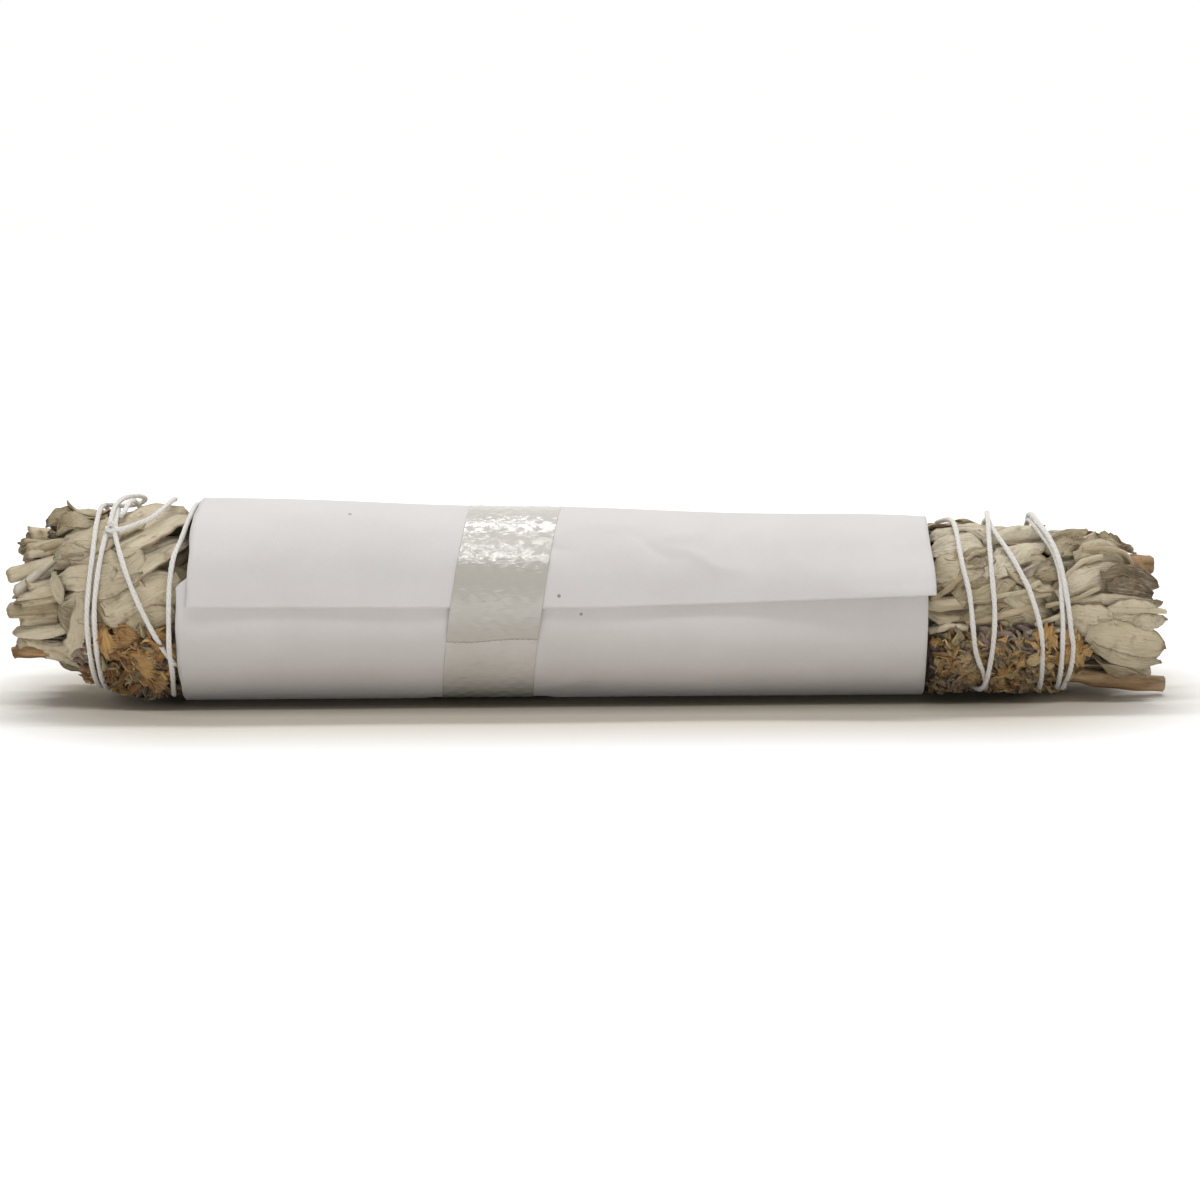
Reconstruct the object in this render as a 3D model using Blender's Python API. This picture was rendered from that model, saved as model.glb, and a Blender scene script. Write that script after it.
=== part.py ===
"""A dried sage and lavender bundle, bound with cotton string and rolled in a taped paper sleeve.

Sizes are in millimetres and become metres when a mesh is made. The bundle lies along X. A place on it is
(x, a): x along the bundle and a in degrees round it, 0 facing the front (-Y), 90 up and -90 down.
"""

import math
import random

import bmesh
import bpy
import numpy as np
from mathutils import Vector

MM = 0.001
GAP = 0.3

# Paper sleeve: the short side of an A5 sheet along the bundle, its long side rolled round it
PAPER_LENGTH = 147.2
PAPER_GIRTH = 210.0
PAPER_THICK = 0.35
PAPER_PITCH = 0.65
SLEEVE_LEFT = -80.9
SLEEVE_RIGHT = SLEEVE_LEFT + PAPER_LENGTH
SLEEVE_LEFT_FLAP = -79.0
SLEEVE_RIGHT_FLAP = 67.2
SLEEVE_LEFT_INNER = -77.9
SLEEVE_RADIUS_LEFT = 20.4
SLEEVE_RADIUS_RIGHT = 17.9
FLAP_ANGLE = 7.0
FLAP_ANGLE_LEFT = 5.0
FLAP_ANGLE_RIGHT = 16.0
SHEET_STEP = 15.0
UNDERSIDE_ANGLE = 270.0
PRESSED_HALF_ANGLE = 15.0
FLAP_LIFT = 2.2
FLAP_LIFT_FROM = 15.0

# Tape: 18 mm wide, its ring slightly tilted, its two ends overlapping on the front
TAPE_WIDTH = 18.0
TAPE_CENTRE = -17.6
TAPE_TILT = 3.0
TAPE_TILT_ANGLE = 115.0
TAPE_THICK = 0.25
TAPE_END_ANGLE = -14.0
TAPE_START_ANGLE = 32.0
TAPE_RECESS = (-33.5, -31.0, -9.5, -7.0)
TAPE_RECESS_HEIGHT = 0.75

# Cotton string
STRING_RADIUS = 0.52
STRING_SINK_IN_SLEEVE = 3.95
STRING_FLOOR = 1.85
GROOVE_ROOM = 0.32

# Outer form of the leaves: x, radius, height of the bundle's axis
BUNDLE_PROFILE = (
    (-114.0, 14.0, 21.2),
    (-109.0, 16.2, 21.8),
    (-103.0, 17.2, 20.9),
    (-97.0, 18.2, 20.2),
    (-88.5, 19.6, 19.6),
    (-82.0, 19.8, 19.5),
    (66.0, 17.4, 17.1),
    (73.0, 17.4, 17.2),
    (88.0, 17.2, 17.0),
    (95.0, 16.5, 17.0),
    (100.0, 16.0, 16.4),
    (107.0, 15.0, 15.4),
    (113.0, 14.0, 14.6),
)
LEAF_FLOOR = 0.4
CORE_FLOOR = 3.6

# Core of pressed leaves: x, radius
CORE_PROFILE = (
    (-107.0, 8.0),
    (-105.0, 12.6),
    (-90.0, 16.0),
    (-79.0, 14.9),
    (60.0, 12.5),
    (73.0, 14.4),
    (90.0, 13.8),
    (99.0, 7.0),
)
CORE_SIDES = 20

# Lower front, where the lavender lies instead of sage: first x, last x, first angle, last angle
LAVENDER_BED_LEFT = (-101.6, -72.0, -77.0, -2.0)
LAVENDER_BED_RIGHT = (60.0, 97.0, -80.0, -3.0)
LAVENDER_DEPTH = 6.2

# The string's route: x, angle counted on through each turn, and how far it sinks below its usual radius.
# It starts at the knot, winds twice round the left end, crosses to the right under the sleeve, winds
# four times round the right end and crosses back to the knot.
STRING_LEFT_START = (
    (-95.2, 51, 0.0), (-95.9, 36, 0.0), (-96.5, 20, 0.0), (-97.1, -1, 0.0),
    (-97.0, -40, 0.0), (-96.6, -90, 0.0), (-96.6, -150, 0.0), (-97.0, -210, 0.0), (-97.3, -269, 0.0),
    (-97.5, -318, 0.0), (-98.0, -340, 0.0), (-98.6, -364, 0.0), (-98.5, -391, 0.0), (-98.2, -429, 0.0),
    (-97.9, -490, 0.0), (-96.4, -560, 0.0), (-94.6, -620, 0.0), (-93.6, -648, 0.0), (-93.4, -668, 0.0),
    (-90.8, -695, 0.0), (-86.5, -724, 0.0), (-82.9, -745, 0.2), (-80.2, -758, 0.0),
)
STRING_RIGHT_ENTRY = (70.6, 105, 0.2)
STRING_RIGHT_TURNS = (
    (71.9, 84, 0.0), (72.6, 43, 0.0), (74.0, 17, 0.0), (74.7, -5, 0.0), (75.5, -23, 0.0), (77.8, -49, 0.0),
    (78.6, -95, 0.0), (79.0, -150, 0.0), (79.0, -220, 0.0), (79.2, -270, 0.0), (79.8, -293, 0.0),
    (83.8, -325, 0.0), (86.0, -342, 0.0), (88.0, -366, 0.0), (88.7, -390, 0.4), (88.9, -430, 0.0),
    (88.8, -490, 0.0), (88.2, -560, 0.0), (87.6, -620, 0.0), (88.2, -645, 0.0),
    (90.8, -670, 0.0), (91.9, -687, 0.0), (92.1, -707, 0.0), (92.4, -733, 0.0), (92.4, -790, 0.0),
    (91.0, -850, 0.0), (89.0, -920, 0.0), (87.8, -978, 0.0), (88.5, -1004, 0.0),
    (91.4, -1035, 0.0), (92.9, -1061, 0.0), (94.0, -1087, 0.0), (94.6, -1102, 0.0), (94.0, -1132, 0.0),
    (91.0, -1190, 0.0), (86.0, -1250, 0.0), (80.6, -1310, 0.0), (78.9, -1353, 0.0), (78.4, -1399, 0.0),
    (78.9, -1434, 0.0), (78.6, -1463, 0.0), (77.6, -1487, 0.0), (74.8, -1520, 0.0),
)
STRING_LEFT_RETURN = (
    (-76.8, 92, 0.0), (-78.4, 68, 0.0), (-81.0, 40, 0.2), (-82.1, 22, 0.0), (-82.4, 2, 0.0),
    (-82.5, -19, 0.0), (-82.3, -32, 0.0), (-82.7, -52, 0.0), (-84.0, -95, 0.0), (-87.0, -160, 0.0),
    (-90.4, -230, 0.0), (-91.6, -275, 0.0), (-92.6, -298, 0.0),
)
STRING_TAIL = (
    (-94.2, 56, 0.0), (-92.2, 53, -0.7), (-90.1, 56, -0.5), (-86.1, 64, -0.4), (-83.7, 80, -0.4),
    (-82.9, 98, -0.3),
)
STRING_LOOP = (
    (-94.6, 60, -0.1), (-94.2, 76, -0.9), (-92.6, 92, -1.3), (-90.2, 100, -1.2), (-89.4, 110, -0.8),
    (-91.4, 116, -0.5), (-94.6, 112, -0.2), (-96.9, 100, -0.1),
)
KNOT_PLACE = (-94.3, 55.0)
HELIX_PITCH = 53.0

# Sage leaves seen from the front: base (x, a), tip (x, a), width, height above the usual leaf surface
FRONT_LEAVES = (
    ("shoulder", -80.5, 86, -93.0, 34, 13.0, 0.5),
    ("top_back", -83.5, 108, -96.0, 70, 12.0, 0.3),
    ("middle_band", -80.5, 50, -94.0, 10, 9.0, 0.9),
    ("big_smooth", -80.8, 24, -95.5, -4, 15.0, 0.2),
    ("oval", -99.0, 14, -86.8, 37, 11.0, 0.7),
    ("left_upper", -92.0, 58, -103.5, 43, 8.5, 0.6),
    ("left_middle", -92.5, 34, -101.5, 33, 7.0, 0.4),
    ("fan", -104.0, 10, -93.5, 25, 7.5, 0.6),
    ("long", -104.0, 2, -88.5, 24, 6.5, 0.3),
    ("crescent", -100.0, 6, -104.8, -52, 7.5, 1.0),
    ("under_knot", -88.0, 62, -99.5, 66, 9.0, 0.0),
    ("tuft", -96.0, 76, -108.2, 79, 6.5, 0.2),
    ("tuft_low", -98.0, 66, -105.5, 60, 6.0, 0.3),
    ("tuft_high", -95.0, 90, -104.0, 88, 7.5, 0.0),
    ("bottom_left", -95.0, -62, -108.5, -68, 9.0, 0.0),
    ("low_shoulder", -81.0, 4, -92.0, -12, 9.0, 0.1),
    ("sleeve_top", 66.5, 74, 77.0, 75, 9.0, 0.4),
    ("roof", 72.5, 80, 85.0, 84, 9.0, 0.3),
    ("sleeve_pale", 66.2, 52, 77.5, 57, 8.5, 0.5),
    ("sleeve_low", 65.8, 33, 77.5, 36, 9.0, 0.2),
    ("small_high", 72.5, 46, 79.5, 53, 3.6, 0.7),
    ("small_middle", 73.0, 36, 79.5, 43, 3.2, 0.5),
    ("small_low", 72.5, 22, 79.5, 30, 3.0, 0.6),
    ("sloped", 77.8, 28, 84.5, 60, 7.6, 0.5),
    ("sloped_next", 80.5, 40, 89.5, 66, 7.0, 0.5),
    ("grey_roll", 81.5, 24, 92.0, 49, 7.0, 1.0),
    ("grey_tip", 90.0, 43, 97.0, 47, 4.6, 0.5),
    ("under_pair", 87.0, 33, 93.5, 38, 5.0, 0.2),
    ("angle_leaf", 91.0, 52, 96.5, 61, 6.0, 0.4),
    ("fragment", 94.5, 55, 103.5, 66, 4.5, 0.6),
    ("cone", 101.5, 62, 107.5, 74, 5.5, 0.8),
    ("light_edge", 95.0, 43, 105.5, 54, 7.0, 0.4),
    ("broad", 91.5, 16, 104.5, 40, 8.0, 0.6),
    ("dark_cup", 99.0, 24, 111.5, 38, 8.0, 0.0),
    ("rim_roll", 93.5, 12, 111.5, 24, 5.0, 0.7),
    ("fold_right", 99.0, -2, 111.0, 18, 7.0, 0.2),
    ("angular", 91.5, -3, 102.5, 0, 8.0, 0.3),
    ("flared", 97.5, -8, 112.5, -16, 11.0, 0.5),
    ("low_flare", 99.0, -28, 111.0, -44, 8.0, 0.2),
    ("round_tip", 106.0, 4, 113.3, 7, 4.0, 1.1),
)

# Rolled leaves that face out at the ends: x and angle inside, x and angle at the open end, radius
FRONT_ROLLS = (
    ("roll_high", -98.0, 50, -111.8, 45, 2.9),
    ("roll_pale", -100.0, 40, -109.8, 44, 1.9),
    ("roll_blunt", -100.0, 34, -114.2, 26, 2.0),
    ("roll_smooth", -101.0, 28, -112.4, 10, 2.2),
    ("roll_folded", -101.0, 12, -113.4, 3, 2.2),
    ("roll_block", -100.0, 0, -114.2, -12, 2.9),
    ("roll_lower", -101.0, -18, -112.8, -28, 1.9),
    ("roll_under", -102.0, -30, -112.2, -38, 1.7),
    ("roll_wrap", -99.0, -46, -112.9, -53, 2.6),
    ("roll_right_top", 77.5, 68, 90.0, 86, 2.3),
    ("roll_right_pair", 89.5, 72, 98.2, 98, 1.9),
    ("roll_right_twin", 91.5, 64, 100.4, 92, 1.9),
)

# Rolled leaves over the end faces: x inside, x at the open end, rings of (radius, count, first angle),
# and whether the front's named rolls take their front
END_ROLL_RINGS = (
    (-103.0, -111.5, ((13.0, 10, 86.0),), True),
    (-103.0, -110.5, ((7.6, 6, 10.0), (1.0, 1, 40.0)), False),
    (92.0, 103.0, ((9.0, 6, 0.0), (2.0, 1, 30.0)), False),
)

# Rows of leaves of the back, top and underside: base x, tip x, width, degrees from one to the next
LEAF_ROWS = (
    (-81.0, -92.0, 10.0, 36), (-88.0, -99.0, 9.0, 40), (-95.0, -107.0, 8.0, 40),
    (66.0, 77.0, 8.5, 44), (74.0, 85.0, 7.0, 44), (82.0, 94.0, 7.0, 44), (90.0, 104.0, 6.5, 44),
    (97.0, 110.0, 6.5, 48),
)
LEAF_THICK = 0.8
LEAF_CUP = 0.9
STATIONS = {(0.0, 0.3, 0.68, 1.0): (0.62, 0.95, 0.88, 0.30), (0.0, 0.3, 1.0): (0.7, 1.0, 0.45)}
HERO_STATIONS, PLAIN_STATIONS = STATIONS


def read_profile(table, x):
    """The values of a table's columns after the first, read along straight runs between its rows."""
    columns = list(zip(*table))
    return [float(np.interp(x, columns[0], column)) for column in columns[1:]]


def bundle_radius(x):
    return read_profile(BUNDLE_PROFILE, x)[0]


def axis_height(x):
    return read_profile(BUNDLE_PROFILE, x)[1]


def place(x, angle, radius, floor=LEAF_FLOOR):
    """The point at x, angle and radius, flattened where it would come below the floor height."""
    turn = math.radians(angle)
    height = axis_height(x)
    lowest = (floor - height) / radius if radius else 0.0
    upward = max(math.sin(turn), lowest)
    return Vector((x, -radius * math.cos(turn), height + radius * upward))


def smooth_step(value):
    value = min(max(value, 0.0), 1.0)
    return value * value * (3 - 2 * value)


def make_material(name, colour, roughness):
    material = bpy.data.materials.new(name)
    material.use_nodes = True
    shader = material.node_tree.nodes["Principled BSDF"]
    shader.inputs["Base Color"].default_value = (*colour, 1.0)
    shader.inputs["Roughness"].default_value = roughness
    shader.inputs["Metallic"].default_value = 0.0
    return material


def make_object(name, points, faces, material=None):
    """A mesh object from points in millimetres, with its faces turned outward."""
    mesh = bpy.data.meshes.new(name)
    mesh.from_pydata([Vector(point) * MM for point in points], [], faces)
    work = bmesh.new()
    work.from_mesh(mesh)
    bmesh.ops.recalc_face_normals(work, faces=work.faces)
    bmesh.ops.triangulate(work, faces=work.faces)
    work.to_mesh(mesh)
    work.free()
    if material:
        mesh.materials.append(material)
    thing = bpy.data.objects.new(name, mesh)
    bpy.context.scene.collection.objects.link(thing)
    return thing


def bridge_rings(rings, closed_ends=True):
    """Points and faces of a solid whose sections are rings with the same number of points."""
    count = len(rings[0])
    points = [point for ring in rings for point in ring]
    faces = []
    for row in range(len(rings) - 1):
        for step in range(count):
            near = row * count + step
            side = row * count + (step + 1) % count
            faces.append((near, side, side + count, near + count))
    if closed_ends:
        faces.append(tuple(reversed(range(count))))
        last = (len(rings) - 1) * count
        faces.append(tuple(range(last, last + count)))
    return points, faces


def keep_largest_body(thing):
    """Drops every loose scrap and every sealed hollow, which are islands of their own."""
    work = bmesh.new()
    work.from_mesh(thing.data)
    unseen = set(work.verts)
    islands = []
    while unseen:
        stack = [unseen.pop()]
        island = []
        while stack:
            vertex = stack.pop()
            island.append(vertex)
            for edge in vertex.link_edges:
                other = edge.other_vert(vertex)
                if other in unseen:
                    unseen.remove(other)
                    stack.append(other)
        islands.append(island)
    islands.sort(key=len)
    scraps = [vertex for island in islands[:-1] for vertex in island]
    bmesh.ops.delete(work, geom=scraps, context="VERTS")
    work.to_mesh(thing.data)
    work.free()


def combine(thing, others, operation, solver="EXACT"):
    """One Boolean of a thing with a collection of others, applied, with the others then removed."""
    group = bpy.data.collections.new(thing.name + "_" + operation.lower())
    bpy.context.scene.collection.children.link(group)
    for other in others:
        bpy.context.scene.collection.objects.unlink(other)
        group.objects.link(other)
    change = thing.modifiers.new("combine", "BOOLEAN")
    change.operation = operation
    change.solver = solver
    change.operand_type = "COLLECTION"
    change.collection = group
    view = bpy.context.evaluated_depsgraph_get()
    mesh = bpy.data.meshes.new_from_object(thing.evaluated_get(view))
    thing.modifiers.remove(change)
    thing.data = mesh
    for other in others:
        bpy.data.objects.remove(other)
    bpy.data.collections.remove(group)
    keep_largest_body(thing)


def thin_mesh(thing, share):
    """Keeps this share of the triangles: the joints of fused blades leave many tiny ones."""
    change = thing.modifiers.new("thin", "DECIMATE")
    change.ratio = share


def smooth_route(points, spacing):
    """Points along a smooth curve through the given places, (x, angle, sink) each."""
    ends = [points[0]] + list(points) + [points[-1]]
    route = []
    for first, start, stop, last in zip(ends, ends[1:], ends[2:], ends[3:]):
        span = math.hypot(stop[0] - start[0], math.radians(stop[1] - start[1]) * bundle_radius(start[0]))
        steps = max(1, round(span / spacing))
        for step in range(steps):
            t = step / steps
            weights = (
                -0.5 * t + t * t - 0.5 * t ** 3,
                1.0 - 2.5 * t * t + 1.5 * t ** 3,
                0.5 * t + 2.0 * t * t - 1.5 * t ** 3,
                -0.5 * t * t + 0.5 * t ** 3,
            )
            route.append([sum(w * p[k] for w, p in zip(weights, (first, start, stop, last))) for k in range(3)])
    route.append(list(points[-1]))
    return route


def helix(start, stop, turns_pitch):
    """Places on a straight helix under the sleeve from start to stop, angles always falling."""
    length = abs(stop[0] - start[0])
    whole = round((length / turns_pitch * 360 - (start[1] - stop[1]) % 360) / 360)
    fall = (start[1] - stop[1]) % 360 + 360 * whole
    count = round(fall / 26)
    return [
        (start[0] + (stop[0] - start[0]) * k / count, start[1] - fall * k / count, 0.0)
        for k in range(1, count)
    ], start[1] - fall


def shifted(points, start_angle):
    """The same places with their angles counted on from start_angle."""
    change = start_angle - points[0][1]
    return [(x, angle + change, sink) for x, angle, sink in points]


def sleeve_radius(x):
    return float(np.interp(x, (SLEEVE_LEFT, SLEEVE_RIGHT_FLAP), (SLEEVE_RADIUS_LEFT, SLEEVE_RADIUS_RIGHT)))


def string_radius(x):
    """The string's centre line lies at the leaves' outer radius, and deeper under the sleeve."""
    under = sleeve_radius(x) - STRING_SINK_IN_SLEEVE
    outside_left = smooth_step((-80.2 - x) / 1.6)
    outside_right = smooth_step((x - 67.6) / 2.0)
    outside = max(outside_left, outside_right)
    return under + (bundle_radius(x) - under) * outside


def string_point(x, angle, sink):
    return place(x, angle, string_radius(x) - sink, STRING_FLOOR)


def tube(name, centres, radius, sides, material=None):
    """A round tube along a chain of points, with flat ends."""
    rings = []
    across = Vector((0.0, 0.0, 1.0))
    for index, centre in enumerate(centres):
        ahead = centres[min(index + 1, len(centres) - 1)]
        behind = centres[max(index - 1, 0)]
        along = (ahead - behind).normalized()
        across = (across - along * across.dot(along)).normalized()
        other = along.cross(across)
        rings.append([
            centre + (across * math.cos(turn) + other * math.sin(turn)) * radius
            for turn in (2 * math.pi * k / sides for k in range(sides))
        ])
    return make_object(name, *bridge_rings(rings), material)


def string_legs():
    """The string's main route from end to end, its tail and its loop, each a list of places."""
    left = list(STRING_LEFT_START)
    entry_angle = STRING_RIGHT_ENTRY[1]
    out_helix, arrive = helix(left[-1], STRING_RIGHT_ENTRY, HELIX_PITCH)
    right = shifted((STRING_RIGHT_ENTRY,) + STRING_RIGHT_TURNS, arrive)
    back_helix, return_angle = helix(right[-1], STRING_LEFT_RETURN[0], HELIX_PITCH)
    back = shifted(STRING_LEFT_RETURN, return_angle)
    whole = left + out_helix + right + back_helix + back
    return [smooth_route(whole, 1.2), smooth_route(STRING_TAIL, 2.6), smooth_route(STRING_LOOP, 2.6)]


def lift_crossings(route):
    """Radii along a dense route, raised smoothly where the string lies over an earlier turn of itself."""
    flat = np.array([(x, math.radians(angle) * bundle_radius(x)) for x, angle, _ in route])
    radii = np.array([string_radius(x) - sink for x, _, sink in route])
    around = np.array([2 * math.pi * bundle_radius(x) for x, _, _ in route])
    steps = np.hypot(*np.diff(flat, axis=0).T)
    along = np.concatenate(([0.0], np.cumsum(steps)))
    apart = 2 * STRING_RADIUS + 0.38
    for index in range(len(route)):
        earlier = along < along[index] - 12.0
        if not earlier.any():
            continue
        across = flat[earlier] - flat[index]
        across[:, 1] -= around[index] * np.round(across[:, 1] / around[index])
        distance = np.hypot(*across.T)
        near = distance < apart
        if near.any():
            needed = (radii[earlier][near] + np.sqrt(apart ** 2 - distance[near] ** 2)).max()
            tent = needed - 0.3 * np.abs(along - along[index])
            close = np.abs(along - along[index]) < 6.0
            radii[close] = np.maximum(radii[close], tent[close])
    return radii


def thin_out(points, tolerance, longest):
    """Indices of the points that a chain needs to keep within tolerance of all of them."""
    kept = [0]
    start = 0
    while start < len(points) - 1:
        stop = start + 1
        while stop < len(points) - 1:
            line = points[stop + 1] - points[start]
            if line.length > longest:
                break
            line.normalize()
            offsets = [(p - points[start]) - line * (p - points[start]).dot(line)
                       for p in points[start + 1:stop + 1]]
            if max(offset.length for offset in offsets) > tolerance:
                break
            stop += 1
        kept.append(stop)
        start = stop
    return kept


def make_string(material):
    """One cord with its knot, and the route of each of its parts for what must keep clear of it."""
    dense, tail, loop = string_legs()
    radii = lift_crossings(dense)
    centres = [place(x, angle, radius, STRING_FLOOR) for (x, angle, _), radius in zip(dense, radii)]
    kept = thin_out(centres, 0.3, 9.0)
    thing = tube("binding_string", [centres[k] for k in kept], STRING_RADIUS, 5, material)
    legs = [[dense[k] for k in kept], tail, loop]
    pieces = [tube("string_leg", [string_point(*spot) for spot in leg], STRING_RADIUS, 5) for leg in legs[1:]]
    centre = string_point(*KNOT_PLACE, -0.2)
    along = Vector((0.35, -0.55, 0.75)).normalized()
    side = along.orthogonal().normalized()
    other = along.cross(side)
    coil = []
    for k in range(15):
        turn = 2 * math.pi * k / 7
        coil.append(centre + along * (k / 14 - 0.5) * 2.6
                    + (side * math.cos(turn) + other * math.sin(turn)) * 0.9)
    pieces.append(tube("knot", coil, STRING_RADIUS * 1.1, 5))
    combine(thing, pieces, "UNION")
    return legs


class Surface:
    """The leaves' outer surface, pinched in along the string."""

    def __init__(self, legs):
        self.string = np.array([tuple(string_point(*spot)) for leg in legs for spot in leg])

    def string_distance(self, point):
        return float(np.sqrt(((self.string - np.array(point)) ** 2).sum(axis=1)).min())

    def radius(self, x, angle):
        rough = place(x, angle, bundle_radius(x))
        distance = self.string_distance(rough)
        bulge = 1.0 - math.exp(-(distance / 3.6) ** 2)
        return bundle_radius(x) - 1.16 + 1.2 * bulge


def leaf_blade(name, surface, base, tip, width, proud, stations=HERO_STATIONS):
    """A folded leaf laid on the bundle: its base sunk in the core, its middle raised, its edges lower."""
    rings = []
    for t, share in zip(stations, STATIONS[stations]):
        x = base[0] + (tip[0] - base[0]) * t
        angle = base[1] + (tip[1] - base[1]) * t
        radius = bundle_radius(x)
        run_x = tip[0] - base[0]
        run_s = math.radians(tip[1] - base[1]) * radius
        length = math.hypot(run_x, run_s)
        side_x = -run_s / length
        side_a = math.degrees(run_x / length / radius)
        half = width / 2 * share
        sunk = (1.0 - smooth_step(t / 0.3)) * 4.2
        level = proud - 1.35 * (1.0 - t)
        ring = []
        for across, drop in ((-1.0, LEAF_CUP), (0.0, 0.0), (1.0, LEAF_CUP * 0.8)):
            spot_x = x + side_x * half * across
            spot_a = angle + side_a * half * across
            outer = surface.radius(spot_x, spot_a) + level - drop - sunk
            ring.append((spot_x, spot_a, outer))
        lower = [(spot_x, spot_a, outer - LEAF_THICK) for spot_x, spot_a, outer in reversed(ring)]
        rings.append([place(*spot) for spot in ring + lower])
    return make_object(name, *bridge_rings(rings))


def hollow_end_tube(name, spots, sizes, sides, squash, hollow):
    """A tapered tube along the spots whose last end is hollow: hollow is its depth and two shares of size."""
    along = (spots[-1] - spots[0]).normalized()
    across = along.orthogonal().normalized()
    other = along.cross(across)
    depth, mouth, bottom = hollow
    centres = list(spots) + [spots[-1], spots[-1] - along * depth]
    rings = [
        [
            centre + (across * math.cos(turn) + other * math.sin(turn) * squash) * size
            for turn in (2 * math.pi * k / sides for k in range(sides))
        ]
        for centre, size in zip(centres, list(sizes) + [mouth, bottom])
    ]
    return make_object(name, *bridge_rings(rings))


def leaf_roll(name, base, tip, radius):
    """A rolled leaf that lies at the bundle's surface, hollow at its outer end."""
    start = place(base[0], base[1], bundle_radius(base[0]) - radius - 2.6)
    middle_x = base[0] * 0.45 + tip[0] * 0.55
    middle = place(middle_x, base[1] * 0.45 + tip[1] * 0.55, bundle_radius(middle_x) - radius - 0.2)
    stop = place(tip[0], tip[1], bundle_radius(tip[0]) - radius)
    sizes = (radius * 0.8, radius, radius * 0.92)
    return hollow_end_tube(name, (start, middle, stop), sizes, 7, 0.86, (1.8, radius * 0.5, radius * 0.4))


def bundle_core():
    """The pressed leaves inside: a fluted body, each flute twisted slightly and of its own depth."""
    draw = random.Random(11)
    depths = [draw.uniform(0.0, 1.0) for _ in range(CORE_SIDES)]
    rings = []
    for x, radius in CORE_PROFILE:
        ring = []
        for side in range(CORE_SIDES):
            angle = 360.0 * side / CORE_SIDES + 0.1 * (x + 80)
            ring.append(place(x, angle, radius - 0.9 * depths[side], CORE_FLOOR))
        rings.append(ring)
    return make_object("sage_leaves", *bridge_rings(rings))


def in_bed(x, angle, margin=0.0):
    """Whether a place lies in one of the two beds that the lavender fills."""
    angle = (angle + 180) % 360 - 180
    for first, last, low, high in (LAVENDER_BED_LEFT, LAVENDER_BED_RIGHT):
        if first - margin < x < last + margin and low - margin < angle < high + margin:
            return True
    return False


def scattered_leaves(surface):
    """Leaves of the back, top and underside, where the front list has none, in rows round the bundle."""
    draw = random.Random(23)
    pieces = []
    for row, (start, stop, width, step) in enumerate(LEAF_ROWS):
        angle = 96.0 + 14 * (row % 3)
        while angle < 318.0:
            lean = draw.uniform(-22, 22)
            slide = draw.uniform(-1.2, 1.2)
            wide = width * draw.uniform(0.85, 1.25)
            base = (start + slide, angle)
            tip = (stop + slide, angle + lean)
            if not (in_bed(base[0], base[1], 3.0) or in_bed(tip[0], tip[1], 3.0)):
                pieces.append(leaf_blade("leaf", surface, base, tip, wide, draw.uniform(-0.1, 0.5),
                                         PLAIN_STATIONS))
            angle += step * draw.uniform(0.8, 1.15)
    return pieces


def end_rolls(inner_x, outer_x, rings, draw, front_taken=False):
    """Rolled leaves packed over an end face, apart from the front where the named rolls take it."""
    pieces = []
    for ring_radius, count, first in rings:
        for k in range(count):
            angle = first + 360.0 * k / count + draw.uniform(-9, 9)
            if front_taken and -70 < angle < 75:
                continue
            size = draw.uniform(1.7, 2.7)
            far = outer_x + draw.uniform(-2.2, 2.2)
            start = place(inner_x, angle, ring_radius * 0.9)
            stop = place(far, angle + draw.uniform(-8, 8), ring_radius)
            pieces.append(hollow_end_tube("end_roll", (start, stop), (size, size), 6, 1.0,
                                          (1.6, size * 0.5, size * 0.4)))
    return pieces


def wall_cutter(spots):
    """An open groove along the string: a band from just under it out past the leaves."""
    points = [string_point(*spot) for spot in spots]
    room = STRING_RADIUS + GROOVE_ROOM
    rings = []
    for index, point in enumerate(points):
        ahead = points[min(index + 1, len(points) - 1)]
        behind = points[max(index - 1, 0)]
        along = (ahead - behind).normalized()
        x = spots[index][0]
        outward = point - Vector((x, 0.0, axis_height(x)))
        outward = (outward - along * outward.dot(along)).normalized()
        side = along.cross(outward)
        rings.append([
            point - outward * room - side * room,
            point - outward * room + side * room,
            point + outward * 5.0 + side * room * 1.7,
            point + outward * 5.0 - side * room * 1.7,
        ])
    return make_object("groove", *bridge_rings(rings))


def sector_solid(name, bed, inner_drop, outer_rise, margin, outer_floor, material=None, columns=7):
    """A block that follows the bundle over one lavender bed, from inner_drop below its radius outward."""
    first, last, low, high = bed
    rings = []
    for x in (first - margin, (first + last) / 2, last + margin):
        base = min(bundle_radius(x), string_radius(x) + 0.2)
        extra = math.degrees(margin / (base - inner_drop))
        inner, outer = [], []
        for column in range(columns):
            angle = low - extra + (high - low + extra * 2) * column / (columns - 1)
            inner.append(place(x, angle, base - inner_drop, CORE_FLOOR - margin))
            outer.append(place(x, angle, base + outer_rise, outer_floor))
        rings.append(inner + list(reversed(outer)))
    return make_object(name, *bridge_rings(rings), material)


def ring_solid(name, rows, material=None):
    """A closed band round the bundle: each row is an angle's inner and outer points, left to right."""
    points, faces = [], []
    size = len(rows[0])
    for row in rows:
        points += row
    for index in range(len(rows)):
        after = (index + 1) % len(rows)
        for k in range(size):
            side = (k + 1) % size
            faces.append((index * size + k, index * size + side, after * size + side, after * size + k))
    return make_object(name, points, faces, material)


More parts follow.
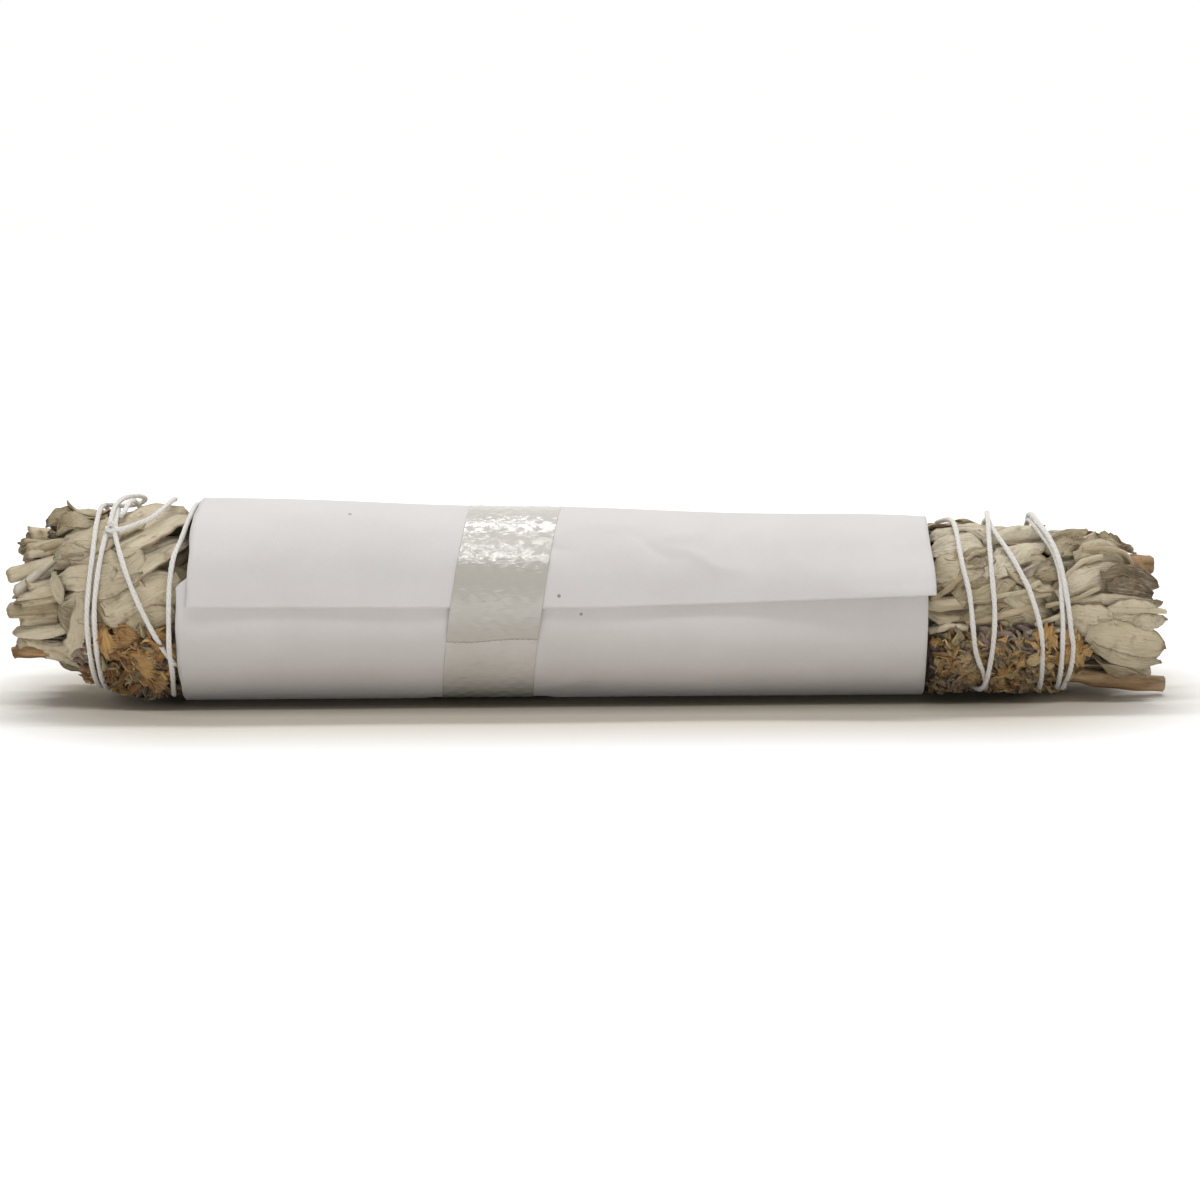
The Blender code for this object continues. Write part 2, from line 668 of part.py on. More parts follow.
def sleeve_room():
    """What the leaves and flowers must keep out of: the sleeve's rolled layers and the space round them."""
    rows = []
    for step in range(24):
        angle = 7.0 + 15.0 * step
        ends = (SLEEVE_LEFT - 0.35, 0.0, SLEEVE_RIGHT_FLAP + 0.35)
        inner = [place(x, angle, sleeve_radius(x) - 1.9, 1.35) for x in ends]
        outer = [place(x, angle, sleeve_radius(x) + 6.0, -9.0) for x in reversed(ends)]
        rows.append(inner + outer)
    return ring_solid("sleeve_room", rows)


def groove_cutters(legs):
    """A cutter for each stretch of string outside the sleeve, and one for its knot."""
    cutters = []
    for leg in legs:
        stretch = []
        for spot in leg:
            if spot[0] < SLEEVE_LEFT + 9.0 or spot[0] > SLEEVE_RIGHT_FLAP - 9.0:
                stretch.append(spot)
            else:
                if len(stretch) > 2:
                    cutters.append(wall_cutter(stretch))
                stretch = []
        if len(stretch) > 2:
            cutters.append(wall_cutter(stretch))
    knot = [string_point(KNOT_PLACE[0], KNOT_PLACE[1], sink) for sink in (2.2, -4.0)]
    cutters.append(tube("knot_room", knot, 2.9, 8))
    return cutters


def clear_away(thing, cutters):
    """Cuts a copy of each cutter out of the thing."""
    copies = []
    for cutter in cutters:
        copy = cutter.copy()
        copy.data = cutter.data.copy()
        bpy.context.scene.collection.objects.link(copy)
        copies.append(copy)
    combine(thing, copies, "DIFFERENCE")


# Cut stems: x, angle and depth of the centre line below the leaves' radius at each of four places,
# then radius and number of sides
STEMS = {
    "stem_upper": ((86.0, 45, 5.2), (94.0, 49, 3.9), (103.0, 56, 3.0), (111.0, 66, 2.2), 2.0, 8),
    "stem_lower": ((80.0, -50, 5.2), (92.0, -54, 2.6), (100.0, -57, 1.0), (113.8, -63, 0.1), 1.6, 8),
    "stem_front": ((60.0, 9, 4.6), (70.0, 12, 2.8), (80.0, 16, 2.4), (90.0, 22, 2.6), 1.5, 7),
    "stem_tan": ((73.5, -2, 2.6), (78.0, 1, 1.7), (83.0, 6, 1.7), (87.0, 10, 1.7), 0.8, 6),
    "stem_thin": ((92.8, 21, 2.4), (94.6, 31, 1.6), (96.4, 40, 1.2), (98.2, 47, 0.6), 0.75, 6),
    "stem_left": ((-92.0, -44, 6.4), (-100.0, -47, 4.4), (-107.0, -50, 2.4), (-114.8, -54, 0.6), 1.2, 7),
}


def stem_points(spots):
    return [place(x, angle, bundle_radius(x) - sink) for x, angle, sink in spots]


def make_stems(material):
    """The stems, and a slightly larger channel for each."""
    cutters = []
    for name, (*spots, radius, sides) in STEMS.items():
        points = stem_points(spots)
        tube(name, points, radius, sides, material)
        longer = [points[0] - (points[1] - points[0]).normalized() * GAP] + points[1:-1]
        longer.append(points[-1] + (points[-1] - points[-2]).normalized() * 3.0)
        cutters.append(tube(name + "_cutter", longer, radius + GAP + 0.12, sides))
    return cutters


def calyx(centre, along, outward, length, radius):
    """One flower cup of lavender: a four-sided spindle leaning out from the spike."""
    lean = (along * 0.75 + outward * 0.66).normalized()
    across = lean.orthogonal().normalized()
    other = lean.cross(across)
    middle = centre + lean * length * 0.55
    ring = [middle + (across * math.cos(turn) + other * math.sin(turn)) * radius
            for turn in (math.pi / 4 + math.pi / 2 * k for k in range(4))]
    points = [centre - lean * 0.6] + ring + [centre + lean * length]
    faces = [(0, 1 + (k + 1) % 4, 1 + k) for k in range(4)] + [(5, 1 + k, 1 + (k + 1) % 4) for k in range(4)]
    return make_object("calyx", points, faces)


def bract(surface, x, angle, heading, length, width, proud):
    """One papery bract: a small pointed blade, standing up at its tip."""
    turn = math.radians(heading)
    radius = bundle_radius(x)
    rings = []
    for t, share, lift in ((0.0, 0.35, -2.2), (0.5, 1.0, 0.0), (1.0, 0.4, 0.7)):
        spot_x = x + math.cos(turn) * length * t
        spot_a = angle + math.degrees(math.sin(turn) * length * t / radius)
        half = width / 2 * share
        side_x = -math.sin(turn) * half
        side_a = math.degrees(math.cos(turn) * half / radius)
        outer = surface.radius(spot_x, spot_a) + proud + lift - 0.34
        ring = [(spot_x - side_x, spot_a - side_a, outer), (spot_x + side_x, spot_a + side_a, outer - 0.2)]
        ring += [(spot[0], spot[1], spot[2] - 0.7) for spot in reversed(ring)]
        rings.append([place(*spot, 0.9) for spot in ring])
    return make_object("bract", *bridge_rings(rings))


LAVENDER_SPIKES = {
    "lavender_left": ((-101.5, -12, -90.0, -30), (-100.5, -38, -84.0, -42), (-98.0, -58, -81.0, -62)),
    "lavender_right": ((66.0, -14, 92.0, -14), (66.0, -34, 94.0, -36), (66.0, -56, 92.0, -58)),
}
LAVENDER_BRACTS = {
    "lavender_left": (
        (-93.4, -13, 240, 7.0, 6.4), (-90.0, -20, 200, 7.0, 5.0), (-86.0, -13, 190, 6.0, 5.0),
        (-84.0, -18, 190, 6.5, 5.0), (-88.0, -27, 220, 7.0, 5.0), (-83.5, -33, 200, 6.5, 4.5),
        (-92.0, -34, 160, 6.0, 4.5), (-95.5, -24, 100, 5.0, 4.0), (-88.0, -48, 190, 6.0, 4.5),
        (-84.0, -58, 210, 6.0, 4.5),
    ),
    "lavender_right": (
        (69.0, -24, 20, 6.5, 5.0), (72.0, -50, 330, 6.5, 5.0), (76.0, -40, 10, 6.0, 4.5),
        (81.0, -62, 300, 6.0, 4.5), (84.0, -46, 340, 6.0, 5.0), (88.0, -28, 60, 6.5, 5.0),
        (91.0, -16, 350, 6.5, 5.5), (91.5, -36, 20, 6.0, 5.5), (68.5, -40, 200, 5.5, 4.5),
        (86.0, -64, 350, 6.0, 4.5),
    ),
}


def make_lavender(name, bed, surface, material, draw):
    """Spikes of flower cups and papery bracts, grown on a slim bed that follows the bundle."""
    thing = sector_solid(name, bed, LAVENDER_DEPTH, -3.0, 0.0, CORE_FLOOR - 0.9, material)
    parts = []
    for x0, a0, x1, a1 in LAVENDER_SPIKES[name]:
        length = abs(x1 - x0)
        whorls = round(length / 2.6)
        for whorl in range(whorls):
            t = (whorl + 0.5) / whorls
            x = x0 + (x1 - x0) * t
            angle = a0 + (a1 - a0) * t
            centre = place(x, angle, bundle_radius(x) - 3.2, 2.6)
            axis = Vector((x, 0.0, axis_height(x)))
            outward = (centre - axis).normalized()
            along = Vector((1.0, 0.0, 0.0))
            round_way = outward.cross(along)
            side = (-1.0, 0.1, 1.0)[whorl % 3]
            for turn in (side, side + (1.2 if side < 0.5 else -1.9)):
                aim = (outward + round_way * turn * 0.95).normalized()
                parts.append(calyx(centre + round_way * turn * 1.4, along, aim,
                                   draw.uniform(2.8, 3.6), draw.uniform(1.0, 1.3)))
    for x, angle, heading, length, width in LAVENDER_BRACTS[name]:
        parts.append(bract(surface, x, angle, heading, length, width, draw.uniform(-0.6, 0.0)))
    combine(thing, parts, "UNION")
    return thing


def sleeve_flap_lift(x, turned):
    """How far the free flap stands off: only near its edge and only towards the right end."""
    along = smooth_step((x - FLAP_LIFT_FROM) / (SLEEVE_RIGHT_FLAP - FLAP_LIFT_FROM))
    return FLAP_LIFT * along * smooth_step(1.0 - turned / 40.0)


def flap_angle(x):
    return float(np.interp(x, (SLEEVE_LEFT_FLAP, 0.0, SLEEVE_RIGHT_FLAP),
                           (FLAP_ANGLE_LEFT, FLAP_ANGLE, FLAP_ANGLE_RIGHT)))


def tape_edges(angle):
    """The x positions of the tape's two edges at an angle round the sleeve: its ring lies in a tilted plane."""
    centre = TAPE_CENTRE + TAPE_TILT * math.cos(math.radians(angle - TAPE_TILT_ANGLE))
    return centre - TAPE_WIDTH / 2, centre + TAPE_WIDTH / 2


def sleeve_floor(x):
    """The underside is flat on the surface, except where the tape passes beneath it."""
    return float(np.interp(x, TAPE_RECESS, (0.0, TAPE_RECESS_HEIGHT, TAPE_RECESS_HEIGHT, 0.0)))


def sheet_angle(x, turned):
    """Angle of the sheet after turning inward from its free edge, whose slope fades out round the roll."""
    return FLAP_ANGLE + turned + (flap_angle(x) - FLAP_ANGLE) * (1.0 - smooth_step(turned / 75.0))


def sheet_radius(x, turned):
    return sleeve_radius(x) - PAPER_PITCH * turned / 360.0


def pressed_radius(x, angle, radius):
    """The radius, or more within the strip that the bundle's weight presses flat on the surface."""
    from_below = abs((angle - UNDERSIDE_ANGLE + 180.0) % 360.0 - 180.0)
    if from_below > PRESSED_HALF_ANGLE + 0.1:
        return radius
    return max(radius, axis_height(x) / math.cos(math.radians(PRESSED_HALF_ANGLE)))


def make_sleeve(material):
    """One sheet rolled inward from its free flap, which lies on the front, with a flat underside."""
    mean_radius = (SLEEVE_RADIUS_LEFT + SLEEVE_RADIUS_RIGHT) / 2 - PAPER_PITCH * 0.8
    steps = round(math.degrees(PAPER_GIRTH / mean_radius) / SHEET_STEP)
    rings = []
    for step in range(steps + 1):
        turned = max(SHEET_STEP * step - FLAP_ANGLE, 0.0)
        outside = turned < 360
        if outside and SHEET_STEP * step == UNDERSIDE_ANGLE:
            continue
        behind = smooth_step((turned - 150) / 110)
        left = SLEEVE_LEFT_FLAP + (SLEEVE_LEFT - SLEEVE_LEFT_FLAP) * behind
        left += (SLEEVE_LEFT_INNER - SLEEVE_LEFT) * smooth_step((turned - 375) / 24)
        right = SLEEVE_RIGHT_FLAP + (SLEEVE_RIGHT - SLEEVE_RIGHT_FLAP) * behind
        outer, inner = [], []
        for x in (left, *TAPE_RECESS, 22.0, 45.0, right):
            angle = sheet_angle(x, turned)
            lift = sleeve_flap_lift(x, turned)
            floor = sleeve_floor(x) + (0.0 if outside else PAPER_PITCH)
            radius = sheet_radius(x, turned) + lift
            if outside:
                radius = pressed_radius(x, angle, radius)
            outer.append(place(x, angle, radius, floor))
            inner.append(place(x, angle, radius - PAPER_THICK, floor + PAPER_THICK))
        rings.append(outer + list(reversed(inner)))
    return make_object("paper_sleeve", *bridge_rings(rings), material)


def make_tape(material):
    """A band round the sleeve, twice as thick where its end lies over its start."""
    rows = []
    for step in range(48):
        angle = -171.0 + 7.5 * step
        turned = (angle - FLAP_ANGLE) % 360
        over_edge = smooth_step((turned - 330) / 30)
        double = TAPE_END_ANGLE < angle < TAPE_START_ANGLE
        inner, outer = [], []
        for x in tape_edges(angle):
            radius = sleeve_radius(x) - PAPER_PITCH * turned / 360.0 * (1.0 - over_edge) + GAP
            thick = TAPE_THICK * (1.9 if double else 1.0)
            inner.append(place(x, angle, radius, TAPE_RECESS_HEIGHT - 0.33))
            outer.append(place(x, angle, radius + thick, TAPE_RECESS_HEIGHT - 0.33 - TAPE_THICK))
        rows.append(inner + list(reversed(outer)))
    return ring_solid("clear_tape", rows, material)


def main():
    for thing in list(bpy.data.objects):
        bpy.data.objects.remove(thing)
    paper = make_material("pale_paper", (0.72, 0.69, 0.68), 0.75)
    film = make_material("clear_film", (0.66, 0.64, 0.60), 0.3)
    cotton = make_material("white_cotton", (0.80, 0.78, 0.74), 0.85)
    sage = make_material("dried_sage", (0.42, 0.39, 0.29), 0.9)
    woody = make_material("cut_stem", (0.38, 0.25, 0.13), 0.8)
    lavender = make_material("dried_lavender", (0.20, 0.15, 0.20), 0.9)

    make_sleeve(paper)
    make_tape(film)
    legs = make_string(cotton)
    surface = Surface(legs)
    stem_cutters = make_stems(woody)
    grooves = groove_cutters(legs)
    room = sleeve_room()
    draw = random.Random(5)
    beds = {"lavender_left": LAVENDER_BED_LEFT, "lavender_right": LAVENDER_BED_RIGHT}
    for name, bed in beds.items():
        flowers = make_lavender(name, bed, surface, lavender, draw)
        clear_away(flowers, grooves + stem_cutters + [room])
        thin_mesh(flowers, 0.75)

    leaves = bundle_core()
    leaves.data.materials.append(sage)
    parts = []
    for name, x0, a0, x1, a1, width, proud in FRONT_LEAVES:
        parts.append(leaf_blade(name, surface, (x0, a0), (x1, a1), width, proud))
    for name, x0, a0, x1, a1, radius in FRONT_ROLLS:
        parts.append(leaf_roll(name, (x0, a0), (x1, a1), radius))
    parts += scattered_leaves(surface)
    for inner_x, outer_x, rings, front_taken in END_ROLL_RINGS:
        parts += end_rolls(inner_x, outer_x, rings, draw, front_taken)
    combine(leaves, parts, "UNION")
    bed_rooms = [sector_solid(name + "_room", bed, LAVENDER_DEPTH + 0.35, 7.0, 0.35, -9.0)
                 for name, bed in beds.items()]
    clear_away(leaves, grooves + stem_cutters + [room] + bed_rooms)
    thin_mesh(leaves, 0.6)
    for cutter in grooves + stem_cutters + [room] + bed_rooms:
        bpy.data.objects.remove(cutter)


main()
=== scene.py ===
import math

import bmesh
import bpy
import numpy as np
from mathutils import Matrix, Vector
from numpy import cos, pi, sin


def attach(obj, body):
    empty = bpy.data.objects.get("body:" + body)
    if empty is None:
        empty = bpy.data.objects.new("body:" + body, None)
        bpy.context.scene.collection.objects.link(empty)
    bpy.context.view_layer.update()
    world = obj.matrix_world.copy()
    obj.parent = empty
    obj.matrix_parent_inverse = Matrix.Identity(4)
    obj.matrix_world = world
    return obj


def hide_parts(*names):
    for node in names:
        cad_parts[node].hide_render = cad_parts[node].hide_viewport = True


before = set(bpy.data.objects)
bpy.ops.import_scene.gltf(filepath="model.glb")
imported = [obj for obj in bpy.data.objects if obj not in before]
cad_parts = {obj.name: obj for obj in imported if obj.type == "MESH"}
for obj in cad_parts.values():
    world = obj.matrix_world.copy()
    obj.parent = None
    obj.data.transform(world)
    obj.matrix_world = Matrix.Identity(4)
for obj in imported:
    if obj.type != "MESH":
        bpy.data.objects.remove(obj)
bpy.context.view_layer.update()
mm = 0.001

# Outer form of the leaves, as in the part's source
bundle = {
    "x": (-114, -109, -103, -97, -88.5, -82, 66, 73, 88, 95, 100, 107, 113),
    "radius": (14, 16.2, 17.2, 18.2, 19.6, 19.8, 17.4, 17.4, 17.2, 16.5, 16, 15, 14),
    "axis": (21.2, 21.8, 20.9, 20.2, 19.6, 19.5, 17.1, 17.2, 17, 17, 16.4, 15.4, 14.6),
    "leafFloor": 0.45, "leafThickness": 0.3, "coreDepth": 3.3,
    "leftSleeveEnd": -79.8, "rightSleeveEnd": 66.6, "firstStep": 24,
}


def smoothStep(value):
    value = np.clip(value, 0.0, 1.0)
    return value * value * (3 - 2 * value)


def bundleRadius(x):
    return np.interp(x, bundle["x"], bundle["radius"])


def axisPlace(x):
    return np.stack([x, x * 0, np.interp(x, bundle["x"], bundle["axis"])], axis=-1)


def place(x, angle, radius, floor=bundle["leafFloor"]):
    # x stays, the radius turns by the angle about the bundle's axis, and nothing comes below the floor
    x, angle, radius = np.broadcast_arrays(x, angle, radius)
    turn = np.radians(angle)
    axis = np.interp(x, bundle["x"], bundle["axis"])
    rise = np.maximum(radius * sin(turn), floor - axis)
    return np.stack([x, -radius * cos(turn), axis + rise], axis=-1)


def onCore(x, angle, height, floor=bundle["leafFloor"]):
    # a place at a height above the core that the leaves are stacked on
    return place(x, angle, bundleRadius(x) - bundle["coreDepth"] + height, floor)


def spreadPlaces(spots, count):
    # the numbers of a few places, each read at evenly spread points from the first place to the last
    marks = np.linspace(0, 1, len(spots))
    return [np.interp(np.linspace(0, 1, count), marks, column) for column in zip(*spots)]


def unit(vectors):
    return vectors / np.maximum(np.linalg.norm(vectors, axis=-1, keepdims=True), 1e-9)


def around(sides):
    return np.linspace(0, 2 * pi, sides, endpoint=False)[None, :]


def gridWays(rows, columns, low=-1):
    # u runs from 0 to 1 down the rows, v from low to 1 across the columns
    return np.linspace(0, 1, rows)[:, None], np.linspace(low, 1, columns)[None, :]


# Grids of points become meshes: a part is its points, its four- and three-cornered faces and its values

def gridFaces(rows, columns, wrap=False):
    index = np.arange(rows * columns).reshape(rows, columns)
    if wrap:
        index = np.concatenate([index, index[:, :1]], axis=1)
    corners = (index[:-1, :-1], index[1:, :-1], index[1:, 1:], index[:-1, 1:])
    return np.stack(corners, axis=-1).reshape(-1, 4)


def gridNormals(grid):
    # cross product of the grid's two directions
    return unit(np.cross(np.gradient(grid, axis=0), np.gradient(grid, axis=1)))


def spreadOver(shape, values, again):
    # each value on every point of a grid, and once more on the points that again picks
    full = {name: np.broadcast_to(value, shape).ravel() for name, value in values.items()}
    return {name: np.concatenate([value, value[again]]) for name, value in full.items()}


def shell(grid, thickness, **values):
    # a thin sheet: the grid, the same grid set in along its normals, and a rim between their borders
    rows, columns = grid.shape[:2]
    count = rows * columns
    inner = grid - gridNormals(grid) * thickness
    index = np.arange(count).reshape(rows, columns)
    border = np.concatenate([index[0, :-1], index[:-1, -1], index[-1, :0:-1], index[:0:-1, 0]])
    after = np.roll(border, -1)
    outerFaces = gridFaces(rows, columns)
    rim = np.stack([border, after, after + count, border + count], axis=1)
    return {"points": np.concatenate([grid.reshape(-1, 3), inner.reshape(-1, 3)]),
            "quads": np.concatenate([outerFaces, outerFaces[:, ::-1] + count, rim]),
            "tris": np.zeros((0, 3), int), "values": spreadOver((rows, columns), values, slice(None))}


def closedRings(grid, ends, **values):
    # rings of points joined into a tube, each end closed with a fan to its end point
    rings, sides = grid.shape[:2]
    count = rings * sides
    last = count - sides
    side = np.arange(sides)
    after = (side + 1) % sides
    startCap = np.stack([side, after, np.full(sides, count)], axis=1)
    endCap = np.stack([last + after, last + side, np.full(sides, count + 1)], axis=1)
    return {"points": np.concatenate([grid.reshape(-1, 3), ends]),
            "quads": gridFaces(rings, sides, wrap=True), "tris": np.concatenate([startCap, endCap]),
            "values": spreadOver((rings, sides), values, [0, -1])}


def tube(centres, radii, outward, **values):
    # rings across a path: outward is the direction in which each ring starts, radii is rings by sides
    along = unit(np.gradient(centres, axis=0))
    across = unit(outward - along * np.sum(outward * along, axis=1, keepdims=True))
    other = np.cross(across, along)
    turn = around(radii.shape[1])[..., None]
    rays = across[:, None] * cos(turn) + other[:, None] * sin(turn)
    return closedRings(centres[:, None] + radii[..., None] * rays, centres[[0, -1]], **values)


def copies(shape, centres, axes, sizes, **values):
    # many copies of one small part: axes holds three directions for each, sizes three scales
    local = shape["points"][None] * sizes[:, None, :]
    points = centres[:, None] + np.einsum("nvk,nkd->nvd", local, axes)
    number, corners = points.shape[:2]
    shift = np.arange(number)[:, None, None] * corners
    spread = {name: np.tile(value, number) for name, value in shape["values"].items()}
    for name, value in values.items():
        spread[name] = np.repeat(value, corners)
    return {"points": points.reshape(-1, 3), "quads": (shape["quads"][None] + shift).reshape(-1, 4),
            "tris": (shape["tris"][None] + shift).reshape(-1, 3), "values": spread}


def addObject(name, data):
    made = bpy.data.objects.new(name, data)
    bpy.context.scene.collection.objects.link(made)
    return made


def makePiece(name, parts, slot, replaced):
    # joins the parts into one mesh object that stands for the named CAD nodes
    starts = np.cumsum([0] + [len(part["points"]) for part in parts])
    points = np.concatenate([part["points"] for part in parts])
    quads, tris = (np.concatenate([part[kind] + start for part, start in zip(parts, starts)])
                   for kind in ("quads", "tris"))
    mesh = bpy.data.meshes.new(name)
    mesh.vertices.add(len(points))
    mesh.vertices.foreach_set("co", (points * mm).astype(np.float32).ravel())
    loops = np.concatenate([quads.ravel(), tris.ravel()])
    mesh.loops.add(len(loops))
    mesh.loops.foreach_set("vertex_index", loops.astype(np.int32))
    faceStarts = np.concatenate([np.arange(len(quads)) * 4, quads.size + np.arange(len(tris)) * 3])
    mesh.polygons.add(len(faceStarts))
    mesh.polygons.foreach_set("loop_start", faceStarts.astype(np.int32))
    mesh.update(calc_edges=True)
    mesh.polygons.foreach_set("use_smooth", np.ones(len(faceStarts), bool))
    for key in sorted({key for part in parts for key in part["values"]}):
        layer = mesh.attributes.new(key, "FLOAT", "POINT")
        filled = [part["values"].get(key, np.zeros(len(part["points"]))) for part in parts]
        layer.data.foreach_set("value", np.concatenate(filled).astype(np.float32))
    work = bmesh.new()
    work.from_mesh(mesh)
    bmesh.ops.recalc_face_normals(work, faces=work.faces)
    work.to_mesh(mesh)
    work.free()
    mesh.validate()
    mesh.materials.append(materials[slot])
    piece = addObject(name, mesh)
    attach(piece, "root")
    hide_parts(*replaced)
    print("made", name, 2 * len(quads) + len(tris), "triangles")


def joining(operation, swapped=False):
    # a method that joins a socket with another one, or with a number, in a Math node
    def joined(self, other):
        first, second = (other, self) if swapped else (self, other)
        return self.node("ShaderNodeMath", {"operation": operation}, {0: first, 1: second})
    return joined


class Signal:
    # a shader socket that takes part in Python expressions

    def __init__(self, tree, socket=None):
        self.tree = tree
        self.socket = socket

    def node(self, kind, settings=None, inputs=None, output=0):
        made = self.tree.nodes.new(kind)
        for name, value in (settings or {}).items():
            if name == "stops":
                ramp = made.color_ramp
                while len(ramp.elements) < len(value):
                    ramp.elements.new(0.5)
                for stop, (position, colour) in zip(ramp.elements, value):
                    stop.position = position
                    stop.color = (*colour, 1.0)
            else:
                setattr(made, name, value)
        for name, value in (inputs or {}).items():
            if isinstance(value, Signal):
                self.tree.links.new(value.socket, made.inputs[name])
            else:
                made.inputs[name].default_value = value
        return Signal(self.tree, made.outputs[output])

    __add__ = joining("ADD")
    __radd__ = joining("ADD", swapped=True)
    __sub__ = joining("SUBTRACT")
    __rsub__ = joining("SUBTRACT", swapped=True)
    __mul__ = joining("MULTIPLY")
    __rmul__ = joining("MULTIPLY", swapped=True)
    __pow__ = joining("POWER")
    greater = joining("MAXIMUM")

    def maths(self, operation):
        return self.node("ShaderNodeMath", {"operation": operation}, {0: self})

    def clamped(self, low, high):
        # 0 at low and below, 1 at high and above
        return self.node("ShaderNodeMapRange", {"clamp": True},
                         {"Value": self, "From Min": low, "From Max": high, "To Min": 0.0, "To Max": 1.0})

    def value(self, name):
        return self.node("ShaderNodeAttribute", {"attribute_name": name}, output=2)

    def position(self):
        return self.node("ShaderNodeTexCoord", output=3)

    def part(self, number):
        # x, y or z of a vector
        return self.node("ShaderNodeSeparateXYZ", {}, {0: self}, output=number)

    def noise(self, scale, detail, roughness, stretch=None, distortion=0.0, where=None):
        where = where or self.position()
        if stretch:
            where = self.node("ShaderNodeMapping", {}, {"Vector": where, "Scale": stretch})
        return self.node("ShaderNodeTexNoise", {}, {"Vector": where, "Scale": scale, "Detail": detail,
                                                    "Roughness": roughness, "Distortion": distortion})

    def ramp(self, *stops):
        return self.node("ShaderNodeValToRGB", {"stops": stops}, {0: self})

    def blend(self, first, second):
        # the first colour where this is 0, the second where it is 1
        first, second = ((*end, 1.0) if isinstance(end, tuple) else end for end in (first, second))
        return self.node("ShaderNodeMix", {"data_type": "RGBA"}, {0: self, 6: first, 7: second}, output=2)

    def painted(self, *layers):
        # this colour under others, each with how far it covers what lies below it
        colour = self
        for cover, paint in layers:
            colour = cover.blend(colour, paint)
        return colour

    def bumps(self, *layers):
        # a normal from heights laid one over the other, each with its depth in millimetres
        normal = None
        for height, depth in layers:
            under = {"Normal": normal} if normal else {}
            normal = self.node("ShaderNodeBump", {}, {"Height": height, "Distance": depth * mm, **under})
        return normal


def newMaterial(name, fixed):
    material = bpy.data.materials.new(name)
    material.use_nodes = True
    for key, value in fixed.items():
        material.node_tree.nodes["Principled BSDF"].inputs[key].default_value = value
    return material, Signal(material.node_tree)


def feed(material, **signals):
    # the material with its signals linked to the shader
    shader = material.node_tree.nodes["Principled BSDF"]
    names = {"colour": "Base Color", "roughness": "Roughness", "normal": "Normal",
             "emission": "Emission Color"}
    for key, signal in signals.items():
        signal.tree.links.new(signal.socket, shader.inputs[names[key]])
    return material


# Paper sleeve: one sheet rolled inward from its free flap, which lies on the front
sleeve = {
    "left": -80.9, "leftFlap": -79.0, "rightFlap": 67.2, "radiusLeft": 20.4, "radiusRight": 17.9,
    "pitch": 0.65, "thickness": 0.2, "turned": 645.0, "flapAngle": 7.0, "flapLift": 2.2, "liftFrom": 15.0,
    "recess": (-33.5, -31, -9.5, -7), "recessHeight": 0.75, "tapeMiddle": -18.5,
    # tiny specks: x, angle, radius
    "specks": ((-47.5, 68, 0.28), (-6.3, 14, 0.30), (-16.3, 4, 0.24), (-2.0, 3.5, 0.26), (31, 128, 0.3)),
    # creases: x, angle, heading in degrees from the bundle's length, length, width, depth
    "creases": (
        (3, 62, 18, 26, 1.1, 0.42), (11, 48, -24, 20, 0.9, -0.42), (17, 55, 32, 16, 0.9, 0.40),
        (22, 38, -12, 22, 1.1, 0.42), (-8, 44, 8, 18, 1.2, -0.35), (30, 60, 62, 14, 1.4, 0.30),
        (-38, 58, -6, 30, 2.4, 0.22), (-52, 30, 12, 26, 2.6, -0.2), (44, 30, -16, 24, 2.2, 0.2),
        (-2, -58, 82, 14, 1.8, -0.35), (-5, -48, 60, 12, 1.4, 0.3), (52, 74, 10, 28, 2.6, -0.22),
        (-66, -20, 20, 20, 2.4, 0.2), (20, 130, -8, 40, 2.6, 0.26), (-40, 170, 14, 46, 2.8, -0.26),
        (40, 215, -20, 34, 2.4, 0.24), (-10, 120, 30, 30, 2.0, -0.22),
    ),
}


def sleeveRadius(x):
    return np.interp(x, (sleeve["left"], sleeve["rightFlap"]),
                     (sleeve["radiusLeft"], sleeve["radiusRight"]))


def paperSwell(x, angle):
    # slow swells along and round the sleeve, and creases: narrow ridges that fade out at their ends
    turn = np.radians(angle)
    swell = 0.16 * sin(x * 0.11 + 2 * sin(turn + 0.6)) + 0.14 * sin(2 * turn + x * 0.045 + 1.0)
    swell += 0.10 * sin(5 * turn + 0.02 * x) * sin(x * 0.07 + 2.0)
    for cx, ca, heading, length, width, depth in sleeve["creases"]:
        far = np.radians((angle - ca + 180) % 360 - 180) * 18.5
        cosine, sine = math.cos(math.radians(heading)), math.sin(math.radians(heading))
        lengthwise = (x - cx) * cosine + far * sine
        sideways = far * cosine - (x - cx) * sine + 1.2 * sin(lengthwise * 0.35)
        fade = smoothStep(1.0 - np.abs(lengthwise) / (length / 2))
        swell = swell + depth * fade / (1.0 + (sideways / width) ** 2)
    ends = smoothStep((x - sleeve["left"]) / 6.0) * smoothStep((sleeve["rightFlap"] - x) / 6.0)
    under = smoothStep((np.abs((angle + 90 + 180) % 360 - 180) - 14) / 20.0)
    return swell * (0.35 + 0.65 * ends) * under


def sheetRadius(x, angle):
    # the outermost turn of the sheet: it winds inward by its pitch from the free edge on
    roll = (angle - sleeve["flapAngle"]) % 360
    return sleeveRadius(x) - sleeve["pitch"] * roll / 360.0 + paperSwell(x, angle)


